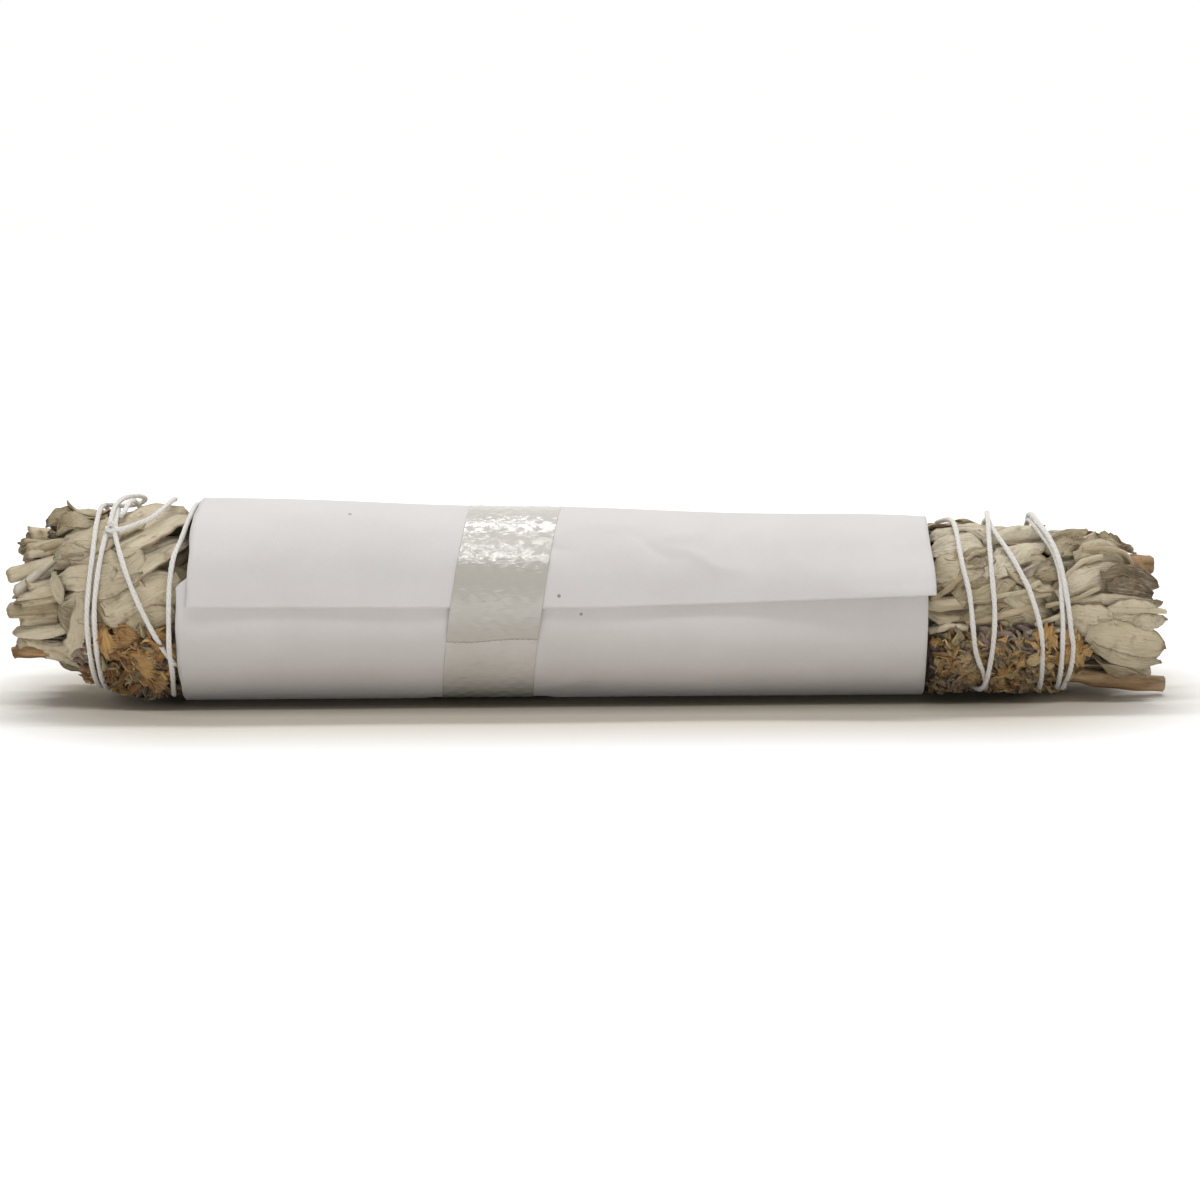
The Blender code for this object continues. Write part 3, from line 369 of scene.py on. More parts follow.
def leafMaterial():
    # felted leaf: tone of its own, cloudy patches, a pale midrib with side veins, brown bruises and brown
    # rims; the rims are darkened further as painted shade of the cracks between leaves, and depth adds
    # painted shade where a leaf lies deep
    material, start = newMaterial("felted_leaf", {"Specular IOR Level": 0.2, "Sheen Weight": 0.18,
                                                  "Sheen Roughness": 0.5})
    # depth is painted shade: the deeper a leaf lies in the bundle, the darker it is
    tone, along, across, depth = map(start.value, ("tone", "along", "across", "depth"))
    base = tone.ramp((0.0, (0.12, 0.08, 0.04)), (0.25, (0.32, 0.245, 0.14)), (0.5, (0.49, 0.405, 0.265)),
                     (0.72, (0.63, 0.54, 0.39)), (0.82, (0.71, 0.635, 0.49)), (0.93, (0.57, 0.52, 0.44)))
    clouds = start.noise(150.0, 3.0, 0.6)
    bruise = start.noise(290.0, 2.0, 0.7)
    felt = start.noise(2600.0, 2.0, 0.7)
    crinkle = start.noise(430.0, 3.0, 0.6, distortion=0.6)
    leafPlace = start.node("ShaderNodeCombineXYZ", {}, {0: along * 2.2, 1: across * 5.5, 2: tone * 37.0})
    streaks = start.noise(2.0, 1.5, 0.6, where=leafPlace)
    distance = across.maths("ABSOLUTE")
    rib = 1.0 - distance.clamped(0.0, 0.07)
    veins = (along * 44.0 - distance * 11.0).maths("SINE")
    # rims: brown leaf edges, darkened further as painted shade of the gaps between leaves
    rim = distance.clamped(0.88, 1.0).greater(along.clamped(0.94, 1.0))
    colour = base.painted(
        (clouds.clamped(0.42, 0.7) * 0.35, (0.37, 0.34, 0.22)),
        (bruise.clamped(0.58, 0.72) * 0.6, (0.23, 0.145, 0.07)),
        (streaks.clamped(0.5, 0.72) * 0.5, (0.62, 0.58, 0.46)),
        (streaks.clamped(0.44, 0.28) * 0.4, (0.27, 0.215, 0.125)),
        (rib * 0.28, (0.62, 0.56, 0.42)), (rim * 0.7, (0.19, 0.12, 0.055)), (depth, (0.060, 0.042, 0.022)))
    normal = start.bumps((crinkle, 0.5), (streaks, 0.35), (veins * 0.3 + rib * 1.2, 0.08), (felt, 0.06))
    return feed(material, colour=colour, roughness=0.74 + felt * 0.2, normal=normal)


def stemMaterial():
    # woody stem: long fibres in two browns, pale where the bark is gone, browner pith at the cut end
    material, start = newMaterial("cut_stem", {"Specular IOR Level": 0.3})
    fibres = start.noise(700.0, 3.0, 0.65, stretch=(0.08, 1, 1))
    patches = start.noise(150.0, 2.0, 0.6, stretch=(0.4, 1, 1))
    bark = fibres.clamped(0.35, 0.65).blend((0.17, 0.085, 0.035), (0.44, 0.28, 0.14))
    pale = fibres.clamped(0.3, 0.7).blend((0.40, 0.33, 0.22), (0.62, 0.53, 0.38))
    bare = (start.value("tone") + patches * 0.8 - 0.4).clamped(0.2, 0.8)
    colour = bark.painted((bare, pale), (start.value("pith"), (0.50, 0.33, 0.17)))
    return feed(material, colour=colour, roughness=0.6 + patches * 0.25, normal=start.bumps((fibres, 0.25)))


def flowerMaterial():
    # flower cups in purple-grey to green-grey with ribs, and papery bracts from straw to orange-brown
    material, start = newMaterial("dried_lavender", {"Specular IOR Level": 0.2, "Sheen Weight": 0.2})
    tone, papery, along, across = map(start.value, ("tone", "papery", "along", "across"))
    speckle = start.noise(1500.0, 2.0, 0.7)
    mottle = start.noise(360.0, 3.0, 0.65)
    lines = (across * 21.0).maths("SINE")
    cup = tone.ramp((0.0, (0.135, 0.086, 0.075)), (0.25, (0.27, 0.195, 0.165)), (0.45, (0.29, 0.215, 0.125)),
                    (0.7, (0.34, 0.285, 0.14)), (1.0, (0.43, 0.33, 0.155)))
    cup = cup.painted((along.clamped(0.6, 1.0) * 0.4, (0.17, 0.12, 0.14)),
                      (speckle.clamped(0.5, 0.7) * 0.5, (0.33, 0.28, 0.23)))
    sheet = tone.ramp((0.0, (0.15, 0.072, 0.026)), (0.35, (0.38, 0.195, 0.058)), (0.6, (0.56, 0.33, 0.115)),
                      (0.8, (0.62, 0.43, 0.19)), (1.0, (0.66, 0.52, 0.28)))
    sheet = sheet.painted((mottle.clamped(0.5, 0.68) * 0.35, (0.26, 0.14, 0.06)),
                          (mottle.clamped(0.44, 0.3) * 0.4, (0.60, 0.50, 0.34)),
                          (lines.clamped(0.1, 0.9) * 0.35, (0.30, 0.15, 0.06)),
                          (along.clamped(0.75, 1.0) * 0.4, (0.33, 0.17, 0.07)))
    return feed(material, colour=papery.blend(cup, sheet), roughness=0.7 + speckle * 0.2,
                normal=start.bumps((lines * 0.5 + speckle, 0.16)))


def cottonMaterial():
    # white cotton: fine fibres, with painted shade greying the furrows between the strands
    material, start = newMaterial("white_cotton", {"Roughness": 0.9, "Specular IOR Level": 0.15,
                                                   "Sheen Weight": 0.4})
    fibres = start.noise(3200.0, 2.0, 0.6)
    colour = start.value("furrow").blend((0.77, 0.75, 0.715), (0.48, 0.44, 0.39))
    colour = colour.painted((fibres.clamped(0.5, 0.75) * 0.25, (0.62, 0.59, 0.54)))
    return feed(material, colour=colour, normal=start.bumps((fibres, 0.10)))


def paperMaterial():
    # plain paper: even grey-pink with a faint fibre cloud, tiny specks, fine tooth and soft long ripples
    material, start = newMaterial("pale_paper", {"Specular IOR Level": 0.28, "Sheen Weight": 0.3,
                                                 "Sheen Roughness": 0.6})
    cloud = start.noise(60.0, 4.0, 0.6)
    tooth = start.noise(1900.0, 3.0, 0.6)
    ripple = start.noise(48.0, 2.0, 0.5, stretch=(0.35, 1, 1))
    colour = cloud.clamped(0.3, 0.7).blend((0.635, 0.605, 0.592), (0.675, 0.648, 0.636))
    colour = colour.painted((tooth.clamped(0.55, 0.75) * 0.16, (0.55, 0.52, 0.50)))
    where = start.position()
    for x, angle, size in sleeve["specks"]:
        spot = tuple(place(x, angle, sheetRadius(x, angle)) * mm)
        apart = start.node("ShaderNodeVectorMath", {"operation": "DISTANCE"}, {0: where, 1: spot}, output=1)
        colour = colour.painted((apart.clamped(size * 1.7 * mm, size * mm) * 0.75, (0.16, 0.12, 0.10)))
    return feed(material, colour=colour, roughness=0.62 + tooth * 0.2,
                normal=start.bumps((ripple, 1.1), (tooth, 0.055)))


def tapeMaterial():
    # clear film over paper: warmer and darker than the paper, wrinkled, glossy and darker where double; the
    # darker tones are partly the film's own and partly a painted reflection of the dark room in front
    material, start = newMaterial("clear_film", {"Specular IOR Level": 0.62, "Coat Roughness": 0.12})
    wrinkle = start.noise(420.0, 3.0, 0.65, stretch=(0.45, 1, 1), distortion=0.8)
    cloud = start.noise(110.0, 2.0, 0.6)
    colour = cloud.clamped(0.3, 0.7).blend((0.575, 0.548, 0.512), (0.62, 0.592, 0.56))
    # where the film lies double it darkens, partly for the second layer and partly as painted reflection
    colour = colour.painted((start.value("double") * 0.85, (0.485, 0.458, 0.415)))
    return feed(material, colour=colour, roughness=0.10 + cloud * 0.10, normal=start.bumps((wrinkle, 0.24)))


# The material of each slot
materials = {
    "sage": leafMaterial(), "stem": stemMaterial(), "lavender": flowerMaterial(),
    "cotton": cottonMaterial(), "paper": paperMaterial(), "tape": tapeMaterial(),
}
print("materials ready")


def sheetAngle(x, turned):
    # the free edge slopes, and its slope fades out round the roll
    edge = np.interp(x, (sleeve["leftFlap"], 0, sleeve["rightFlap"]), (5.0, 7.0, 16.0))
    return sleeve["flapAngle"] + turned + (edge - sleeve["flapAngle"]) * (1.0 - smoothStep(turned / 75.0))


def sleeveFloor(x):
    return np.interp(x, sleeve["recess"], (0.0, sleeve["recessHeight"], sleeve["recessHeight"], 0.0))


def makeSleeve():
    # a spiral sheet: the angle turned runs down the rows, and across them x runs between two uneven edges;
    # the free flap lifts towards its right corner
    turned = np.concatenate([np.linspace(0, 40, 27)[:-1], np.linspace(40, sleeve["turned"], 190)])[:, None]
    share = np.linspace(0, 1, 150)[None, :]
    left = sleeve["leftFlap"] + 1.7 * smoothStep(turned / 90) * smoothStep((260 - turned) / 110)
    left = left + (sleeve["left"] - sleeve["leftFlap"] - 0.2) * smoothStep((turned - 150) / 110)
    left = left + 2.6 * smoothStep((turned - 371) / 4) + 1.0 * smoothStep((turned - 400) / 100)
    left = left + 0.12 * sin(turned * 0.09) + 0.08 * sin(turned * 0.23)
    right = sleeve["rightFlap"] - 0.5 * smoothStep(turned / 60) - 0.9 * smoothStep((turned - 150) / 110)
    right = right + 0.1 * sin(turned * 0.07 + 1)
    x = left + (right - left) * share
    angle = sheetAngle(x, turned)
    along = smoothStep((x - sleeve["liftFrom"]) / (sleeve["rightFlap"] - sleeve["liftFrom"]))
    lift = sleeve["flapLift"] * along * smoothStep(1.0 - turned / 40.0)
    besideTape = smoothStep((np.abs(x - sleeve["tapeMiddle"]) - 9.6) / 5.0)
    lift = lift + 0.35 * smoothStep(1.0 - turned / 9.0) * (0.6 + 0.4 * sin(x * 0.13)) * besideTape
    radius = sleeveRadius(x) - sleeve["pitch"] * turned / 360.0 + lift + paperSwell(x, angle)
    floor = sleeveFloor(x) + sleeve["pitch"] * smoothStep((turned - 300) / 60.0)
    grid = place(x, angle, radius, floor)
    part = shell(grid, sleeve["thickness"])
    makePiece("sleeve_sheet", [part], "paper", ["paper_sleeve"])


makeSleeve()

# Tape: one strip round the sleeve, from its start under the front to its toothed end over it
tape = {"width": 18.0, "centre": -17.6, "tilt": 3.0, "tiltAngle": 115.0, "thickness": 0.06,
        "start": 32.0, "end": -14.0, "proud": 0.22, "doubleProud": 0.12, "bottom": 0.42}


def makeTape():
    # a slanted strip that follows the outermost turn of the paper, with a toothed end over its start
    turned = np.linspace(0.0, 360.0 + tape["start"] - tape["end"], 300)[:, None]
    share = np.linspace(-0.5, 0.5, 73)[None, :]
    angle = tape["start"] - turned
    teeth = 1.3 * np.abs(((share * tape["width"] * 0.9) % 1.0) - 0.5) + 1.2 * sin(share * 5.0)
    lastPart = smoothStep((turned - 395.0) / 11.0)
    angle = angle + teeth * lastPart - 2.2 * share * smoothStep(1 - turned / 10.0)
    centre = tape["centre"] + tape["tilt"] * cos(np.radians(angle - tape["tiltAngle"]))
    x = centre + tape["width"] * share
    roll = (angle - sleeve["flapAngle"]) % 360
    overEdge = smoothStep((roll - 335) / 25.0)
    wrinkle = 0.05 * sin(x * 1.9 + 3 * sin(np.radians(angle) * 2)) * sin(np.radians(angle) * 31)
    radius = sleeveRadius(x) - sleeve["pitch"] * roll / 360.0 * (1.0 - overEdge) + paperSwell(x, angle)
    # double raises the second layer and also darkens the film's colour, partly as painted reflection
    double = smoothStep((turned - 352.0) / 8.0)
    radius = radius + wrinkle + tape["proud"] + tape["doubleProud"] * double
    grid = place(x, angle, radius, tape["bottom"] - tape["doubleProud"] * double)
    part = shell(grid[:, ::-1], tape["thickness"], double=double)
    makePiece("tape_film", [part], "tape", ["clear_tape"])


makeTape()

# Cotton string: its route as x, angle counted on and, where it isn't 0, how deep it sinks into the leaves,
# below 0 where it stands out. It is the route of the part's source, but raised at the sleeve's left edge.
string = {
    "radius": 0.5, "sunk": 3.95, "floor": 1.85, "pitch": 3.6, "step": 1.2, "gap": 0.33, "sides": 14,
    "fine": 0.42, "coarse": 1.8, "knotStep": 0.35, "knotLength": 2.8, "knotRadius": 0.85,
    "leftEdge": -80.2, "rightEdge": 67.6, "pinchOutside": (-77.5, 67.0),
    "leftStart": (
        (-95.2, 51), (-95.9, 36), (-96.5, 20), (-97.1, -1), (-97.0, -40), (-96.6, -90), (-96.6, -150),
        (-97.0, -210), (-97.3, -269), (-97.5, -318), (-98.0, -340), (-98.6, -364), (-98.5, -391),
        (-98.2, -429), (-97.9, -490), (-96.4, -560), (-94.6, -620), (-93.6, -648), (-93.4, -668),
        (-90.8, -695), (-86.5, -724), (-82.9, -745, 0.2), (-80.2, -758),
    ),
    "rightTurns": (
        (70.6, 105, 0.2), (71.9, 84), (72.6, 43), (74.0, 17), (74.7, -5), (75.5, -23), (77.8, -49),
        (78.6, -95), (79.0, -150), (79.0, -220), (79.2, -270), (79.8, -293), (83.8, -325), (86.0, -342),
        (88.0, -366), (88.7, -390, 0.4), (88.9, -430), (88.8, -490), (88.2, -560), (87.6, -620),
        (88.2, -645), (90.8, -670), (91.9, -687), (92.1, -707), (92.4, -733), (92.4, -790), (91.0, -850),
        (89.0, -920), (87.8, -978), (88.5, -1004), (91.4, -1035), (92.9, -1061), (94.0, -1087),
        (94.6, -1102), (94.0, -1132), (91.0, -1190), (86.0, -1250), (80.6, -1310), (78.9, -1353),
        (78.4, -1399), (78.9, -1434), (78.6, -1463), (77.6, -1487), (74.8, -1520),
    ),
    "leftReturn": (
        (-76.8, 106), (-77.9, 88, -3.3), (-78.8, 68, -3.6), (-81.0, 40, -1.7), (-82.1, 22), (-82.4, 2),
        (-82.5, -19), (-82.3, -32), (-82.7, -52), (-84.0, -95), (-87.0, -160), (-90.4, -230), (-91.6, -275),
        (-92.6, -298),
    ),
    "tail": ((-94.2, 56), (-92.2, 53, -0.7), (-90.1, 56, -0.5), (-86.1, 64, -0.4), (-83.7, 80, -0.4),
             (-82.9, 98, -0.3)),
    "loop": ((-94.6, 60, -0.1), (-94.2, 76, -0.9), (-92.6, 92, -1.3), (-90.2, 100, -1.2),
             (-89.4, 110, -0.8), (-91.4, 116, -0.5), (-94.6, 112, -0.2), (-96.9, 100, -0.1)),
    "knot": (-94.3, 55.0), "helixPitch": 53.0,
}


def stretch(name, angle=None):
    # the places of a named stretch of the route, counted on from an angle where one is given
    spots = np.array([(*spot, 0.0)[:3] for spot in string[name]], float)
    if angle is not None:
        spots[:, 1] += angle - spots[0, 1]
    return spots


def smoothRoute(spots):
    # a curve through the places: each stretch is a cubic of its own two ends and their neighbours
    ends = np.vstack([spots[:1], spots, spots[-1:]])
    stretches = []
    for first, start, stop, last in zip(ends, ends[1:], ends[2:], ends[3:]):
        arc = math.radians(stop[1] - start[1]) * float(bundleRadius(start[0]))
        steps = max(1, round(math.hypot(stop[0] - start[0], arc) / string["step"]))
        t = np.arange(steps)[:, None] / steps
        shares = ((-0.5 * t + t * t - 0.5 * t ** 3), (1 - 2.5 * t * t + 1.5 * t ** 3),
                  (0.5 * t + 2 * t * t - 1.5 * t ** 3), (-0.5 * t * t + 0.5 * t ** 3))
        stretches.append(sum(share * end for share, end in zip(shares, (first, start, stop, last))))
    return np.vstack(stretches + [spots[-1:]])


def helixPlaces(start, stop):
    # places on a helix under the sleeve from start to stop, angles always falling
    turns = abs(stop[0] - start[0]) / string["helixPitch"]
    part = (start[1] - stop[1]) % 360
    fall = part + 360 * round((turns * 360 - part) / 360)
    share = np.linspace(0, 1, round(fall / 26) + 1)[1:-1]
    places = np.stack([start[0] + (stop[0] - start[0]) * share, start[1] - fall * share, share * 0], axis=1)
    return places, start[1] - fall


def stringLevel(x):
    # centre line at the leaves' outer radius, and deeper under the sleeve
    under = sleeveRadius(x) - string["sunk"]
    outside = np.maximum(smoothStep((string["leftEdge"] - x) / 1.6),
                         smoothStep((x - string["rightEdge"]) / 2.0))
    return under + (bundleRadius(x) - under) * outside


def liftCrossings(route):
    # raised smoothly where the string lies over an earlier turn of itself
    x, angle, sink = route.T
    radii = stringLevel(x) - sink
    girth = 2 * pi * bundleRadius(x)
    arc = np.radians(angle) * bundleRadius(x)
    travelled = np.concatenate([[0], np.cumsum(np.hypot(np.diff(x), np.diff(arc)))])
    apart = 2 * string["radius"] + string["gap"]
    aside = arc[None, :] - arc[:, None]
    aside -= girth[None, :] * np.round(aside / girth[None, :])
    distance = np.hypot(x[None, :] - x[:, None], aside)
    near = (distance < apart) & (travelled[None, :] < travelled[:, None] - 12)
    bow = np.sqrt(np.maximum(apart ** 2 - distance ** 2, 0))
    along = np.abs(travelled[:, None] - travelled[None, :])
    for _ in range(3):
        needed = np.where(near, radii[None, :] + bow, 0).max(axis=1)
        tent = np.where(along < 6, needed[None, :] - 0.3 * along, 0).max(axis=1)
        radii = np.maximum(radii, tent)
    return radii


leftStart = stretch("leftStart")
outHelix, arrive = helixPlaces(leftStart[-1], string["rightTurns"][0])
rightTurns = stretch("rightTurns", arrive)
backHelix, returnAngle = helixPlaces(rightTurns[-1], string["leftReturn"][0])
mainRoute = smoothRoute(np.vstack([leftStart, outHelix, rightTurns, backHelix,
                                   stretch("leftReturn", returnAngle)]))
mainPath = place(mainRoute[:, 0], mainRoute[:, 1], liftCrossings(mainRoute), string["floor"])
shortPaths = []
for name in ("tail", "loop"):
    x, angle, sink = smoothRoute(stretch(name)).T
    shortPaths.append(place(x, angle, stringLevel(x) - sink, string["floor"]))
# what the leaves are pinched by: every string point outside the sleeve
pinch = np.vstack([mainPath] + shortPaths)
pinch = pinch[(pinch[:, 0] < string["pinchOutside"][0]) | (pinch[:, 0] > string["pinchOutside"][1])]


def cord(path, fine, coarse):
    # the path in even steps, fine where it is seen; each ring has three lobes that turn along the cord
    steps = np.linalg.norm(np.diff(path, axis=0), axis=1)
    travelled = np.concatenate([[0], np.cumsum(steps)])
    stations = [0.0]
    while stations[-1] < travelled[-1] - coarse:
        x = np.interp(stations[-1], travelled, path[:, 0])
        stations.append(stations[-1] + (fine if x < -80 or x > 66 else coarse))
    stations = np.array(stations + [travelled[-1]])
    centres = np.stack([np.interp(stations, travelled, path[:, k]) for k in range(3)], axis=1)
    kernel = np.array([0.25, 0.5, 0.25])
    for _ in range(3):
        padded = np.vstack([centres[:1], centres, centres[-1:]])
        centres = np.stack([np.convolve(padded[:, k], kernel, "valid") for k in range(3)], axis=1)
    turn = around(string["sides"])
    lobes = np.abs(cos(1.5 * (turn - 2 * pi * stations[:, None] / string["pitch"])))
    wear = 1 + 0.05 * sin(stations * 0.8)[:, None] + 0.03 * sin(stations * 2.3)[:, None]
    radii = string["radius"] * wear * (0.82 + 0.22 * lobes ** 0.7)
    # painted shade in the furrows between the strands
    furrow = smoothStep(1.0 - lobes / 0.45) * 0.6
    return tube(centres, radii, centres - axisPlace(centres[:, 0]), furrow=furrow)


def makeString():
    # the cord, its tail and loop, and a knot: two turns of a helix about a slanted line
    parts = [cord(mainPath, string["fine"], string["coarse"])]
    parts += [cord(path, string["fine"], string["fine"]) for path in shortPaths]
    centre = place(*string["knot"], stringLevel(string["knot"][0]) + 0.2, string["floor"])
    along = unit(np.array([0.35, -0.55, 0.75]))
    side = unit(np.cross(along, (0.0, 1.0, 0.3)))
    other = np.cross(along, side)
    turn = np.linspace(0, 4 * pi, 60)[:, None]
    ring = (side * cos(turn) + other * sin(turn)) * string["knotRadius"]
    coil = centre + along * (turn / 4 / pi - 0.5) * string["knotLength"] + ring
    parts.append(cord(coil, string["knotStep"], string["knotStep"]))
    makePiece("cotton_string", parts, "cotton", ["binding_string"])


makeString()

# Sage leaves: laid one by one on a height map of the stack so far, and pinched under the string
stackX = np.arange(-118.0, 119.0, 1.0)
stackStep = 3.0
stackAngles = np.arange(0.0, 360.0, stackStep)
stack = np.zeros((len(stackX), len(stackAngles)))
stacking = {"follow": 0.45, "clear": 0.08, "gap": 0.16, "bury": 0.4, "press": 0.25, "soft": 0.45,
            "pinchDepth": 0.62, "pinchFrom": 0.5, "pinchRise": 2.6, "pinchReach": 3.4, "pinchSearch": 8.0,
            "sleeveDepth": 1.2, "shadeHeight": 1.7, "shade": 0.88}
dice = np.random.default_rng(31)


def draw(low=0.0, high=1.0, count=None):
    return dice.uniform(low, high, count)


def readStack(x, angle):
    # the stack's height between its grid points, after spreading it to its neighbours and softening it
    spread = stack.copy()
    for shift in ((1, 0), (-1, 0), (0, 1), (0, -1)):
        spread = np.maximum(spread, np.roll(stack, shift, axis=(0, 1)))
    soft = (spread * 2 + np.roll(spread, 1, 0) + np.roll(spread, -1, 0) + np.roll(spread, 1, 1)
            + np.roll(spread, -1, 1)) / 6
    row = np.clip(x - stackX[0], 0, len(stackX) - 1.001)
    column = (angle % 360) / stackStep
    i = row.astype(int)
    j = column.astype(int) % len(stackAngles)
    fi, fj = row - i, column - np.floor(column)
    k = (j + 1) % len(stackAngles)
    return ((soft[i, j] * (1 - fj) + soft[i, k] * fj) * (1 - fi)
            + (soft[i + 1, j] * (1 - fj) + soft[i + 1, k] * fj) * fi)


def growStack(x, angle, height):
    # the nearest point of the stack rises to the height, where it is lower
    i = np.clip(np.round(x - stackX[0]).astype(int), 0, len(stackX) - 1).ravel()
    j = (np.round((angle % 360) / stackStep).astype(int) % len(stackAngles)).ravel()
    np.maximum.at(stack, (i, j), height.ravel())


def stringDistance(x, angle):
    # how far each place is from the string outside the sleeve
    rough = place(x, angle, bundleRadius(x)).reshape(-1, 3)
    distance = np.full(len(rough), 99.0)
    reach = stacking["pinchSearch"]
    near = pinch[(pinch[:, 0] > rough[:, 0].min() - reach) & (pinch[:, 0] < rough[:, 0].max() + reach)]
    if len(near):
        gaps = rough[:, None, :] - near[None, :, :]
        distance = np.sqrt((gaps ** 2).sum(axis=2).min(axis=1))
    return distance.reshape(x.shape)


def pinchRoom(distance):
    # the height that the string leaves for the stack: least right under it, and more the further it is
    far = np.maximum(distance - stacking["pinchFrom"], 0) / stacking["pinchReach"]
    return bundle["coreDepth"] - stacking["pinchDepth"] + stacking["pinchRise"] * (1 - np.exp(-far ** 2))


def squeeze(height, room):
    # the height, held smoothly below the room there is
    sharp = stacking["soft"]
    return -sharp * np.logaddexp(-height / sharp, -room / sharp)


def outline(u, blunt):
    # half width along the leaf: rising from its neck, widest past the middle, closing at the tip
    body = np.maximum(1 - np.abs(2 * (u ** 1.15) - 1) ** 2.3, 0) ** blunt
    return np.maximum(np.maximum(body, 0.4 * (1 - u)), 0.05)


def layLeaf(base, tip, width, proud=0.3, bend=0.0, curl=0.5, side=-1.0, lift=0.0, blunt=0.7, fold=0.0,
            tone=0.6, wave=0.27, ragged=0.02, pleats=0.18, crease=0.0, rows=22, columns=13):
    # u runs from base to tip and v from -1 to 1 across. The cross-section is an arc that turns up (side 1)
    # or down (side -1) by curl radians at its edges, with a V fold along the line v = crease and pleats.
    # The leaf is stiff: it follows a smooth quadratic surface through what lies beneath it.
    u, v = gridWays(rows, columns)
    middle = float(bundleRadius((base[0] + tip[0]) / 2))
    runX = tip[0] - base[0]
    runS = math.radians(tip[1] - base[1]) * middle
    length = math.hypot(runX, runS)
    sideX, sideS = -runS / length, runX / length
    bow = bend * sin(pi * u)
    phase = draw(0, 6.28, 6)
    edge = 1 + (ragged + 0.04) * sin(u * 23 + phase[0] + v) * sin(u * 11 + phase[1])
    half = width / 2 * outline(u, blunt) * edge
    curlHere = curl * (0.7 + 0.6 * u)
    lateral = half * sin(curlHere * v) / curlHere
    rise = side * half * (1 - cos(curlHere * v)) / curlHere
    x = base[0] + runX * u + sideX * (lateral + bow)
    s = runS * u + sideS * (lateral + bow)
    angle = base[1] + np.degrees(s / middle)
    under = readStack(x, angle)
    basis = np.stack(np.broadcast_arrays(1.0, u, v, u * u, u * v, v * v), axis=-1).reshape(-1, 6)
    fitted = (basis @ np.linalg.lstsq(basis, under.ravel(), rcond=None)[0]).reshape(under.shape)
    above = under - fitted
    flat = np.maximum(fitted + stacking["follow"] * above.max(), under + stacking["clear"])
    for _ in range(2):
        padded = np.pad(flat, 1, mode="edge")
        flat = (padded[:-2, 1:-1] + padded[2:, 1:-1] + padded[1:-1, :-2] + padded[1:-1, 2:] + 2 * flat) / 6
    ripple = wave * (sin(u * 6 + v * 1.5 + phase[2]) + 0.8 * sin(u * 13 - v * 3.1 + phase[3]) * v * v)
    ripple = ripple + pleats * cos(v * 7.5 + phase[4] + 0.8 * sin(u * 4 + phase[5])) * (1 - u * u)
    valley = fold * (1 - np.abs(v - crease) / (1 + abs(crease)))
    height = (flat + stacking["gap"] + proud + rise + ripple + valley
              + lift * smoothStep((u - 0.45) / 0.55) - stacking["bury"] * smoothStep(1 - u / 0.2))
    room = pinchRoom(stringDistance(x, angle))
    outside = (smoothStep((bundle["leftSleeveEnd"] - x) / 1.2)
               + smoothStep((x - bundle["rightSleeveEnd"]) / 1.2))
    covered = bundle["coreDepth"] - stacking["sleeveDepth"] + 0.7 * outside
    height = squeeze(height, np.where(outside > 0.99, room, np.minimum(room, covered)))
    growStack(x, angle, height - stacking["press"] * np.maximum(rise, 0))
    # painted shade: the lower a leaf lies in the stack, the darker its colour through depth
    shade = smoothStep((stacking["shadeHeight"] - height) / stacking["shadeHeight"]) * stacking["shade"]
    return shell(onCore(x, angle, height), bundle["leafThickness"],
                 tone=tone, along=u, across=v, depth=shade)


def rolledLeaf(start, stop, radius, turns, flat, tone, opening, aim, bend, flare=0.1, rows=12, columns=22):
    # a leaf rolled along its length: each section is a spiral that winds out to the full radius
    u, v = gridWays(rows, columns, low=0)
    along = unit(stop - start)
    across = unit(aim - along * np.dot(aim, along))
    other = np.cross(across, along)
    phase = draw(0, 6.28, 4)
    turn = opening + turns * 2 * pi * v + 0.5 * u
    barrel = 0.8 + 0.24 * sin(pi * np.minimum(u * 1.15, 1.0) ** 0.9) + flare * u
    size = radius * (0.42 + 0.58 * v) * barrel * (1 + 0.07 * sin(u * 6 + phase[0]))
    size = size * (1 + 0.07 * sin(2 * turn + phase[1]) + 0.04 * sin(3 * turn + u * 4 + phase[2]))
    uneven = 0.8 * sin(turn * 1.3 + phase[3]) + 0.18 * sin(turn * 4.1 + phase[0])
    push = u * np.linalg.norm(stop - start) + uneven * u ** 5
    middle = start + along * push[..., None] + across * (bend * sin(pi * u))[..., None]
    grid = middle + across * (size * cos(turn))[..., None] + other * (size * flat * sin(turn))[..., None]
    grid[..., 2] = np.maximum(grid[..., 2], bundle["leafFloor"])
    # painted shade: the inner turns of the roll are darker through depth
    return shell(grid, bundle["leafThickness"], tone=tone, along=u, across=v * 2 - 1,
                 depth=smoothStep((0.55 - v) / 0.5) * 0.8)


def corePart(first, last):
    # pressed leaves under the outer ones: a fluted body closed at both ends, darkened all over with painted
    # shade
    x = np.linspace(first, last, 60)[:, None]
    angle = np.arange(0, 360, 3.0)[None, :]
    shrink = smoothStep((x + 106) / 6) * smoothStep((98 - x) / 6)
    flutes = sin(np.radians(angle) * 17 + x * 0.08) + sin(np.radians(angle) * 29 - x * 0.13)
    radii = (bundleRadius(x) - bundle["coreDepth"] + 0.3 * flutes) * (0.55 + 0.45 * shrink)
    return closedRings(place(x, angle, radii, 2.2), axisPlace(x[[0, -1], 0]),
                       tone=0.2, along=0.5, across=0.5, depth=0.75)


def inBed(x, angle, margin=0.0):
    angle = (angle + 180) % 360 - 180
    beds = ((-101.6, -72, -77, -2), (60, 97, -80, -3))
    return any(a - margin < x < b + margin and c - margin < angle < d + margin for a, b, c, d in beds)


